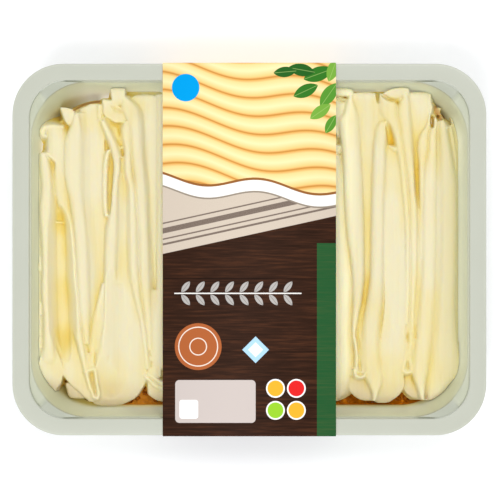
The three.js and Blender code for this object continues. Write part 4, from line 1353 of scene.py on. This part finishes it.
def hollow_depth(places, grain=0.5, reach=3.2):
    """How far each place lies below the mean height round it, from a blurred map of heights."""
    low = places[:, :2].min(0) - 4 * reach
    cell = ((places[:, :2] - low) / grain).astype(int)
    size = cell.max(0) + int(4 * reach / grain)
    heights = np.full(size, MASH_FOOT)
    np.maximum.at(heights, (cell[:, 0], cell[:, 1]), places[:, 2])
    wave_x = np.fft.fftfreq(size[0], grain)[:, None]
    wave_y = np.fft.rfftfreq(size[1], grain)[None]
    soft = np.exp(-2 * (math.pi * reach) ** 2 * (wave_x**2 + wave_y**2))
    blurred = np.fft.irfft2(np.fft.rfft2(heights) * soft, size)
    return blurred[cell[:, 0], cell[:, 1]] - places[:, 2]


def melted(name, x_range, end, bed_top, triangles, finish):
    """One piece of mash between two places along the tray."""
    folds, flats, hollows, curls, stains = end
    xs = np.arange(x_range[0], x_range[1] + GRID / 2, GRID)
    ys = np.arange(-RIM_Y, RIM_Y, GRID)
    heights = [bed_height(xs, ys, bed_top)]
    heights += [ribbon_height(xs, ys, rows, *sides) for *sides, rows in folds.values()]
    heights += [ribbon_height(xs, ys, rows, flat=True) for rows in flats.values()]
    joined = soft_maximum(heights)
    for hollow in hollows:
        joined = np.minimum(joined, hollow_ceiling(xs, ys, *hollow))
    joined = soft_maximum([joined] + [curl_height(xs, ys, *curl) for curl in curls])
    joined = joined + nozzle_lines(xs[None], ys[:, None])
    piece = to_piece(name, *body_of_heights(xs, ys, joined), [])
    baked(
        piece,
        ("REMESH", {"mode": "VOXEL", "voxel_size": VOXEL * MM}),
        ("SMOOTH", {"factor": 0.5, "iterations": SOFTEN}),
    )
    piece.data.vertices.foreach_set("co", (press_to_wall(places_of(piece.data)) * MM).ravel())
    piece.data.update()
    count = sum(len(polygon.vertices) - 2 for polygon in piece.data.polygons)
    if count > triangles:
        baked(piece, ("DECIMATE", {"ratio": triangles / count, "use_collapse_triangulate": True}))
    places = places_of(piece.data)
    # Low places, away from the near end, take more of the painted fold tone as well.
    low = np.clip((27.5 - places[:, 2]) / 5, 0, 1) * np.clip((places[:, 1] + 60) / 20, 0, 1)
    hollow = HOLLOW_LEVEL + hollow_depth(places) / HOLLOW_DEPTH + LOW_SHARE * low
    carry(piece, "hollow", np.clip(hollow, 0, 1))
    stain = np.zeros(len(places))
    for path in stains:
        for px, py, strength, reach in stations(*path):
            away = np.hypot(places[:, 0] - px, places[:, 1] - py) / reach
            stain = np.maximum(stain, strength * np.clip(1.4 - away, 0, 1))
    carry(piece, "stain", stain)
    piece.data.materials.clear()
    piece.data.materials.append(finish)
    piece.data.shade_smooth()
    print(f"{name}: {count} triangles before thinning")
    return piece


# %% [markdown]
# Mash is pale cream on its crests. In its folds it is painted yellower, and darker at their bottoms:
# painted bounce light, the yellow that light takes between cream walls, and painted shade. The mesh
# carries how hollow each place is, and the colour reads that. A little light goes into mash before
# it comes out, so its shader has some subsurface. Beside the sleeve it is painted paler, a painted
# light that lifts the sleeve's shade; at the right wall and at its low near end it is painted duller,
# a painted shade. Gravy has stained it in a few places that the mesh marks.

# %% Finish the mash
mash_finish, mash_shader, mash_wire = new_finish(
    "mash",
    Roughness=0.5,
    Specular_IOR_Level=0.2,
    Subsurface_Weight=0.6,
    Subsurface_Radius=(1.0, 0.75, 0.35),
    Subsurface_Scale=0.003,
)
mash_place = object_place(mash_wire)
mash_x, mash_y, mash_z = (millimetres(mash_place, axis) for axis in "XYZ")
hollow_wire = carried(mash_wire, "hollow")
streaks = cloud(stretched(mash_place, (1.0, 0.05, 0.3)), 420.0, 2.0)
hollow_wire = hollow_wire + (cloud(mash_place, 90.0) - 0.5) * 0.1 + (streaks - 0.5) * 0.3
# The stops are painted bounce light and shade: yellower in the folds, darker at their bottoms.
mash_stops = [
    (0.0, ink(227, 219, 185)),
    (0.35, ink(227, 213, 156)),
    (0.5, ink(225, 206, 130)),
    (0.68, ink(222, 196, 98)),
    (0.85, ink(230, 197, 72)),
    (1.0, ink(218, 177, 44)),
]
mash_tone = toned(hollow_wire, mash_stops)
# Painted light: paler beside the sleeve, lifting the shade that the sleeve throws on the mash.
painted_light_by_sleeve = (1.0 - (mash_x.maths("ABSOLUTE") - 40.0) / 12.0) * (1.6 - hollow_wire * 1.8)
right_half = between(mash_x, 0.0, 40.0)
painted_light_by_sleeve = painted_light_by_sleeve.maths("MINIMUM", 0.55, clamp=True) * (0.3 + right_half * 0.7)
mash_tone = over(painted_light_by_sleeve, mash_tone, ink(255, 250, 212))
# Painted shade: duller towards the right wall.
mash_tone = over(between(mash_x, 88.0, 103.0), mash_tone, ink(206, 196, 148))
# Painted shade: greyer on the low near end of the mash, less so in its folds.
painted_shade_near_end = between(mash_y, -59.0, -65.0) * between(mash_z, 25.0, 21.0)
mash_tone = over(painted_shade_near_end * (0.9 - hollow_wire * 0.9), mash_tone, ink(204, 186, 152))
stain_edge = between(carried(mash_wire, "stain") * 1.3 - cloud(mash_place, 800.0) * 0.7, 0.0, 1.0)
mash_tone = over(stain_edge, mash_tone, ink(176, 116, 36))
plug(mash_tone, mash_shader, "Base Color")
mash_lines = cloud(stretched(mash_place, (1.0, 0.12, 1.0)), 900.0, 3.0, 0.6)
mash_grain = cloud(mash_place, 1500.0, 3.0, 0.6)
plug(0.42 + mash_grain * 0.2, mash_shader, "Roughness")
bump(mash_lines * 0.6 + mash_grain * 0.4, mash_shader, 0.35, 0.12)
print("mash colours run from", mash_stops[0][1][:3], "to", mash_stops[-1][1][:3])

# %% [markdown]
# Both ends are piped in the same way, up to just under the edges of the sleeve. They keep many
# triangles, because their folds are what one looks at.

# %% Pipe both ends
FINE = 192000
ends = {
    "mash_left": ((-RIM_X, SLEEVE_CUT[0]), left_end),
    "mash_right": ((SLEEVE_CUT[1], RIM_X), right_end),
}
for name, (x_range, end) in ends.items():
    settle(melted(name, x_range, end, BED_TOP, FINE, mash_finish), "mash_topping", "mash")

# %% [markdown]
# Under the sleeve nobody sees the mash, but it is there. It goes on in plain ribbons of the same
# width, each drifting a little, from a rule instead of rows.

# %% Pipe the middle
MIDDLE_COUNT = 8
MIDDLE_PITCH = (SLEEVE_CUT[1] - SLEEVE_CUT[0]) / MIDDLE_COUNT
MIDDLE_WIDTH = 7.6
MIDDLE_BED = 26.0
MIDDLE_FINE = 90000
MIDDLE_CRESTS = ((0, 27.5), (0.33, 29.2), (0.66, 29.0), (0.9, 26.5), (1, 24.0))
middle_folds = {}
for i in range(MIDDLE_COUNT):
    centre = SLEEVE_CUT[0] + MIDDLE_PITCH * (i + 0.5)
    rows = []
    start, end = 74 + 2 * math.sin(5.3 * i), -72 + 3 * math.sin(1.9 * i)
    for share, crest in MIDDLE_CRESTS:
        x = centre + 0.5 * math.sin(2.1 * i + 4 * share)
        half = MIDDLE_WIDTH / 2 + 0.4 * math.sin(3.7 * i)
        rows.append((start + (end - start) * share, x - half, x + half, crest))
    middle_folds[i] = (SHARP, SHARP, rows)
middle_cut = (SLEEVE_CUT[0] + 0.15, SLEEVE_CUT[1] - 0.15)
middle_end = (middle_folds, {}, [], [], [])
middle = melted("mash_middle", middle_cut, middle_end, MIDDLE_BED, MIDDLE_FINE, mash_finish)
settle(middle, "mash_topping", "mash")

# %% [markdown]
# ## The film
# A thin clear film is welded to the flange. It has almost no colour, so it is nearly transparent,
# with a gloss that shows only from low down. The weld presses a fine groove round the flange, and
# the film has faint ripples inside it.

# %% Weld the film
FILM_INSET = 1.0
WELD = (3.0, 5.6)
GROOVE = 0.06
RIPPLE = 0.02
RIPPLE_ROOM = 0.05
RIPPLED = (-6.0, -20.0, -45.0)
film_reach = FLANGE_WIDTH - FILM_INSET


def film_loop(out, z):
    radius = RIM_CORNER + out * (FLANGE_CORNER - RIM_CORNER) / FLANGE_WIDTH
    return centred_loop(out, max(radius, 2.0), z)


def ripple(loop, height):
    loop = loop.copy()
    wave = np.sin(loop[:, 0] / 7.0 + 0.5) * np.sin(loop[:, 1] / 9.0) + np.sin(loop[:, 0] / 17.0)
    loop[:, 2] += height * wave
    return loop


welded = [
    (film_reach, GROOVE),
    (WELD[1], GROOVE),
    (WELD[1] - 0.3, 0.0),
    (WELD[0] + 0.3, 0.0),
    (WELD[0], GROOVE),
    (0.0, GROOVE),
]
film_top = [film_loop(out, FILM_TOP - GROOVE + lift) for out, lift in welded]
film_top += [ripple(film_loop(out, FILM_TOP - RIPPLE_ROOM), RIPPLE) for out in RIPPLED]
film_under = [film_loop(out, FILM_FOOT + lift * 0.5) for out, lift in welded]
film_under += [ripple(film_loop(out, FILM_FOOT + RIPPLE_ROOM), RIPPLE) for out in RIPPLED]
film_finish, film_shader, film_wire = new_finish("clear film", Alpha=0.012)
film_place = object_place(film_wire)
film_cast = cloud(film_place, 25.0)
plug(over(film_cast, ink(40, 41, 41), ink(52, 53, 53)), film_shader, "Base Color")
plug(0.04 + film_cast * 0.06, film_shader, "Roughness")
bump(cloud(film_place, 45.0, 1.0), film_shader, 0.2, 0.3)
film = to_piece("film_dressed", *skin([*film_under[::-1], *film_top]), [film_finish])
film.data.set_sharp_from_angle(angle=math.radians(40))
settle(film, "lid_film", "film_lid")

# %% [markdown]
# ## The sleeve
# A card sleeve is one strip of board, creased where it folds round the tray and glued to itself
# underneath. It is drawn as its outline seen from the end, a path that goes right round the tray
# with rounded creases, and pulled out along X. Its print follows the distance along that path, so
# the mesh carries it as a UV map in metres: the print then runs on round each fold as on real card.

# %% Fold the sleeve
BOARD = 0.4
SLEEVE_BASE = 75.5
SLEEVE_BEND = sleeve_high[2] - 2.4
SLEEVE_X = sleeve_high[0]
CUT_ROUND = 0.07


def rounded_path(corners, radii, steps=7):
    """A closed path with its corners rounded, as points and outward normals (y, z)."""
    points, normals = [], []
    corners = np.array(corners, float)
    for k, radius in enumerate(radii):
        before, here, after = corners[k - 1], corners[k], corners[(k + 1) % len(corners)]
        a = (before - here) / np.linalg.norm(before - here)
        b = (after - here) / np.linalg.norm(after - here)
        if radius == 0:
            points.append(here)
            normals.append((-b[1], b[0]))
            continue
        half = math.acos(np.clip(a @ b, -1, 1)) / 2
        middle = (a + b) / np.linalg.norm(a + b)
        centre = here + middle * radius / math.sin(half)
        start, end = np.array((a[1], -a[0])), np.array((-b[1], b[0]))
        for share in np.linspace(0, 1, steps):
            normal = start * (1 - share) + end * share
            normal /= np.linalg.norm(normal)
            points.append(centre + normal * radius)
            normals.append(normal)
    return np.array(points), np.array(normals)


top, wide = sleeve_high[2], sleeve_high[1]
sleeve_corners = [
    (0, top), (wide, top), (wide, SLEEVE_BEND), (SLEEVE_BASE, 0),
    (0, 0), (-SLEEVE_BASE, 0), (-wide, SLEEVE_BEND), (-wide, top),
]
sleeve_radii = [0, 1.0, 4.0, 0.8, 0, 0.8, 4.0, 1.0]
outline, outward = rounded_path(sleeve_corners, sleeve_radii)
inline = outline - outward * BOARD
print(f"outline of {len(outline)} points, from y {outline[:, 0].min():.1f} to {outline[:, 0].max():.1f}")

# %% [markdown]
# The band is pulled out of its outline in three steps, of which the outer two are as short as the
# wear of a cut edge. Each face notes whether it is printed and where on the flat card it lies.

# %% Pull the outline out along the tray
count = len(outline)
sleeve_xs = [-SLEEVE_X, -SLEEVE_X + CUT_ROUND, SLEEVE_X - CUT_ROUND, SLEEVE_X]
sleeve_points, sleeve_faces, sleeve_marks = [], [], []
for x in sleeve_xs:
    worn = CUT_ROUND if abs(x) == SLEEVE_X else 0.0
    for path, shift in ((outline, -worn), (inline, worn)):
        for (y, z), (ny, nz) in zip(path, outward):
            sleeve_points.append((x, y + ny * shift, z + nz * shift))
along = np.concatenate([[0], np.cumsum(np.linalg.norm(np.diff(outline, axis=0), axis=1))])
whole = along[-1] + np.linalg.norm(outline[0] - outline[-1])
under = int(np.argmin(np.abs(outline[:, 0]) + outline[:, 1]))


def around(i):
    """Distance round the outside of the sleeve from the middle of its top, in millimetres."""
    start = along[i]
    end = along[i + 1] if i + 1 < count else whole
    return (start, end) if i < under else (start - whole, end - whole)


steps = len(sleeve_xs) - 1
for s in range(steps):
    for i in range(count):
        j = (i + 1) % count
        a, b = s * 2 * count, (s + 1) * 2 * count
        v0, v1 = around(i)
        x0, x1 = sleeve_xs[s], sleeve_xs[s + 1]
        sleeve_faces.append((a + i, a + j, b + j, b + i))
        sleeve_marks.append((0, [(x0, v0), (x0, v1), (x1, v1), (x1, v0)]))
        c, d = a + count, b + count
        sleeve_faces.append((c + i, d + i, d + j, c + j))
        sleeve_marks.append((1, [(x0, v0), (x1, v0), (x1, v1), (x0, v1)]))
for a, flip in ((0, False), (2 * steps * count, True)):
    for i in range(count):
        j = (i + 1) % count
        face = (a + i, a + count + i, a + count + j, a + j)
        sleeve_faces.append(face[::-1] if flip else face)
        sleeve_marks.append((1, [(0, 0)] * 4))
print(f"sleeve: {whole:.0f} mm of board round the tray")

# %% [markdown]
# The print is flat fields of colour and simple shapes: wavy golden bands with a white edge, a
# striped cloth, dark boards with a green stripe, leaves, discs and a plain pale panel. Each shape
# is a mask made from a distance in millimetres, 1 inside and 0 outside, and the colours are laid
# over one another through those masks, as inks are.

# %% Masks for printed shapes
INK_EDGE = 0.14
card_finish, card_shader, card_wire = new_finish("printed card", Specular_IOR_Level=0.04)
card_place = card_wire.make("ShaderNodeUVMap", {"uv_map": "print"})
u, v = millimetres(card_place, "X"), millimetres(card_place, "Y")


def within(distance):
    """1 where the distance is below zero, with a fine soft edge."""
    return (distance / -INK_EDGE).maths("ADD", 0.5, clamp=True)


def far_from(x, y):
    return (x * x + y * y).maths("SQRT")


def disc(x, y, radius):
    return within(far_from(u - x, v - y) - radius)


def ring(x, y, radius, width):
    return within((far_from(u - x, v - y) - radius).maths("ABSOLUTE") - width / 2)


def panel(x0, x1, y0, y1, corner):
    past_x = (u - (x0 + x1) / 2).maths("ABSOLUTE") - ((x1 - x0) / 2 - corner)
    past_y = (v - (y0 + y1) / 2).maths("ABSOLUTE") - ((y1 - y0) / 2 - corner)
    past = far_from(past_x.maths("MAXIMUM", 0.0), past_y.maths("MAXIMUM", 0.0))
    return within(past - corner)


def leaf(x, y, length, slim, turn):
    """The part that two equal discs share, with its tip and stem along turn degrees."""
    cos, sin = math.cos(math.radians(turn)), math.sin(math.radians(turn))
    lengthwise = x * cos + y * sin
    across = (y * cos - x * sin).maths("ABSOLUTE")
    wide = length * slim / 2
    bend = (length**2 / 4 + wide**2) / (2 * wide)
    blade = within(far_from(lengthwise, across + (bend - wide)) - bend)
    return blade, within(across - 0.12) * blade


def line_at(value, place, width):
    return within((value - place).maths("ABSOLUTE") - width / 2)


print("the masks read u and v, from", len(card_wire.tree.nodes), "nodes")

# %% [markdown]
# The fields come first, from the bottom one up: dark boards all over, a striped cloth that lies
# across them aslant, and golden waves with a white edge over both.

# %% Print dark boards, striped cloth and golden waves
board_grain = cloud(stretched(card_place, (55.0, 900.0, 1.0)), 1.0, 5.0, 0.62)
board_knots = cloud(stretched(card_place, (22.0, 90.0, 1.0)), 1.0, 2.0)
board_mix = board_grain * 0.75 + board_knots * 0.25
board_stops = [(0.3, ink(37, 22, 14)), (0.5, ink(54, 33, 23)), (0.7, ink(84, 50, 32))]
tone = toned(board_mix, board_stops)
for joint in (-14.0, -49.0, -81.0):
    tone = over(line_at(v, joint, 0.4) * 0.7, tone, ink(22, 12, 8))

slope = v - u * 0.22
cloth = within(7.0 - slope) * within(slope - 60.0)
weave = cloud(card_place, 2600.0, 2.0)
cloth_tone = over(weave, ink(196, 182, 165), ink(218, 205, 190))
for place, width in ((11.5, 1.0), (14.0, 0.7), (18.0, 2.6), (21.6, 0.7)):
    cloth_tone = over(line_at(slope, place, width) * (weave * 0.5 + 0.55), cloth_tone, ink(88, 70, 62))
tone = over(cloth, tone, cloth_tone)

edge_wave = 31.0 + ((u / 8.5 + 1.0).maths("SINE")) * 2.6 - u * 0.08
tone = over(within(edge_wave - 6.0 - v), tone, ink(150, 138, 124))
tone = over(within(edge_wave - 5.2 - v), tone, ink(246, 244, 239))
WAVE_PITCH = 8.4
swing = ((u / 10.5 + v / 37.0).maths("SINE")) * 3.1 + u * 0.16
band = ((v + swing) / WAVE_PITCH).maths("FRACT")
band_stops = [
    (0.0, ink(206, 142, 66)),
    (0.1, ink(244, 202, 126)),
    (0.45, ink(253, 231, 176)),
    (0.8, ink(247, 214, 145)),
    (0.93, ink(226, 172, 92)),
    (1.0, ink(196, 128, 54)),
]
tone = over(within(edge_wave - v), tone, ink(150, 98, 50))
tone = over(within(edge_wave + 1.2 - v), tone, toned(band, band_stops))
print("the fields take", len(card_wire.tree.nodes), "nodes")

# %% [markdown]
# The small shapes lie over the fields: leaves on the waves, a green stripe down one edge, a blue
# spot, a white sprig, a round badge, two plain panels, four dots and a small diamond.

# %% Print leaves, stripe, discs and panels
WHITE_INK = ink(250, 250, 250)
SPRIG_INK = ink(240, 238, 234)
BADGE_PLACE = (-24.5, -46.5)
leaf_spots = [
    (33, 84, 15, 200), (38, 74, 14, 235), (25, 86, 13, 170), (34, 66, 12, 215),
    (27, 76, 13, 205), (39, 60, 10, 240), (17, 85, 11, 185), (40, 86, 12, 250),
]
leaf_greens = [ink(52, 118, 38), ink(88, 150, 52), ink(38, 96, 34), ink(120, 172, 66)]
for k, (x, y, length, turn) in enumerate(leaf_spots):
    blade, vein = leaf(u - x, v - y, length, 0.46, turn)
    tone = over(blade, tone, leaf_greens[k % len(leaf_greens)])
    tone = over(vein * 0.6, tone, ink(176, 206, 120))

tone = over(panel(32.4, 60, -400, 3.0, 0.0), tone, ink(26, 119, 65))
tone = over(disc(-30.5, 77.5, 6.6), tone, ink(0, 158, 230))

SPRIG_PITCH = 7.0
sprig_u = ((u + 34.0) / SPRIG_PITCH).maths("FRACT") * SPRIG_PITCH - SPRIG_PITCH / 2
sprig_v = (v + 21.0).maths("ABSOLUTE")
sprig_blade, sprig_vein = leaf(sprig_u, sprig_v - 3.1, 6.6, 0.42, 52)
sprig_reach = panel(-34.0, 22.0, -30.0, -12.0, 0.0)
tone = over(sprig_blade * sprig_reach, tone, SPRIG_INK)
tone = over(sprig_vein * sprig_reach, tone, ink(54, 33, 23))
tone = over(panel(-36.0, 25.0, -21.3, -20.7, 0.3), tone, SPRIG_INK)

tone = over(disc(*BADGE_PLACE, 11.2), tone, ink(176, 98, 54))
for radius in (9.3, 4.0):
    tone = over(ring(*BADGE_PLACE, radius, 0.5), tone, ink(240, 226, 214))
tone = over(panel(-35.5, 3.0, -83.0, -62.5, 2.0), tone, ink(203, 192, 187))
tone = over(panel(-33.5, -24.5, -81.0, -72.0, 1.2), tone, WHITE_INK)
dot_inks = [ink(250, 178, 50), ink(225, 40, 40), ink(150, 205, 50), ink(250, 178, 50)]
for k, dot_ink in enumerate(dot_inks):
    x, y = 12.5 + 10.0 * (k % 2), -66.5 - 10.5 * (k // 2)
    tone = over(disc(x, y, 4.5), tone, WHITE_INK)
    tone = over(disc(x, y, 3.8), tone, dot_ink)
diamond = (u - 3.0).maths("ABSOLUTE") + (v + 48.0).maths("ABSOLUTE")
for reach, diamond_ink in ((6.4, ink(175, 215, 240)), (3.6, ink(240, 247, 252))):
    tone = over(within((diamond - reach) * 0.71), tone, diamond_ink)
plug(tone, card_shader, "Base Color")
card_fibre = cloud(card_place, 900.0, 3.0)
plug(0.36 + card_fibre * 0.14, card_shader, "Roughness")
bump(card_fibre, card_shader, 0.2, 0.03)
print("the print has", len(card_wire.tree.nodes), "nodes")

# %% [markdown]
# Inside and on its cut edges the board isn't printed: it is off-white, with short fibres in it.

# %% Finish the sleeve
bare_finish, bare_shader, bare_wire = new_finish("bare board", Specular_IOR_Level=0.25)
bare_place = object_place(bare_wire)
bare_fibre = cloud(stretched(bare_place, (1.0, 0.3, 1.0)), 1600.0, 4.0, 0.65)
plug(over(bare_fibre, ink(205, 199, 186), ink(228, 224, 214)), bare_shader, "Base Color")
plug(0.75 + bare_fibre * 0.2, bare_shader, "Roughness")
bump(bare_fibre, bare_shader, 0.4, 0.05)

sleeve = to_piece("sleeve_dressed", sleeve_points, sleeve_faces, [card_finish, bare_finish])
print_map = sleeve.data.uv_layers.new(name="print")
for polygon, (which, marks) in zip(sleeve.data.polygons, sleeve_marks):
    polygon.material_index = which
    for loop, mark in zip(polygon.loop_indices, marks):
        print_map.data[loop].uv = (mark[0] * MM, mark[1] * MM)
sleeve.data.set_sharp_from_angle(angle=math.radians(50))
settle(sleeve, "sleeve_board", "sleeve")

# %% [markdown]
# ## Measuring the result
# Both boxes, of the solids and of the dressed pack, are printed. The dressed pack must be
# as big as the solids it dresses.

# %% Write both boxes and finish
dressed_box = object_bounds()
boxes = {
    "cad": [list(corner) for corner in solid_box],
    "visual": [list(corner) for corner in dressed_box],
}
for name, (low, high) in boxes.items():
    print(name, [round((b - a) / MM, 2) for a, b in zip(low, high)])
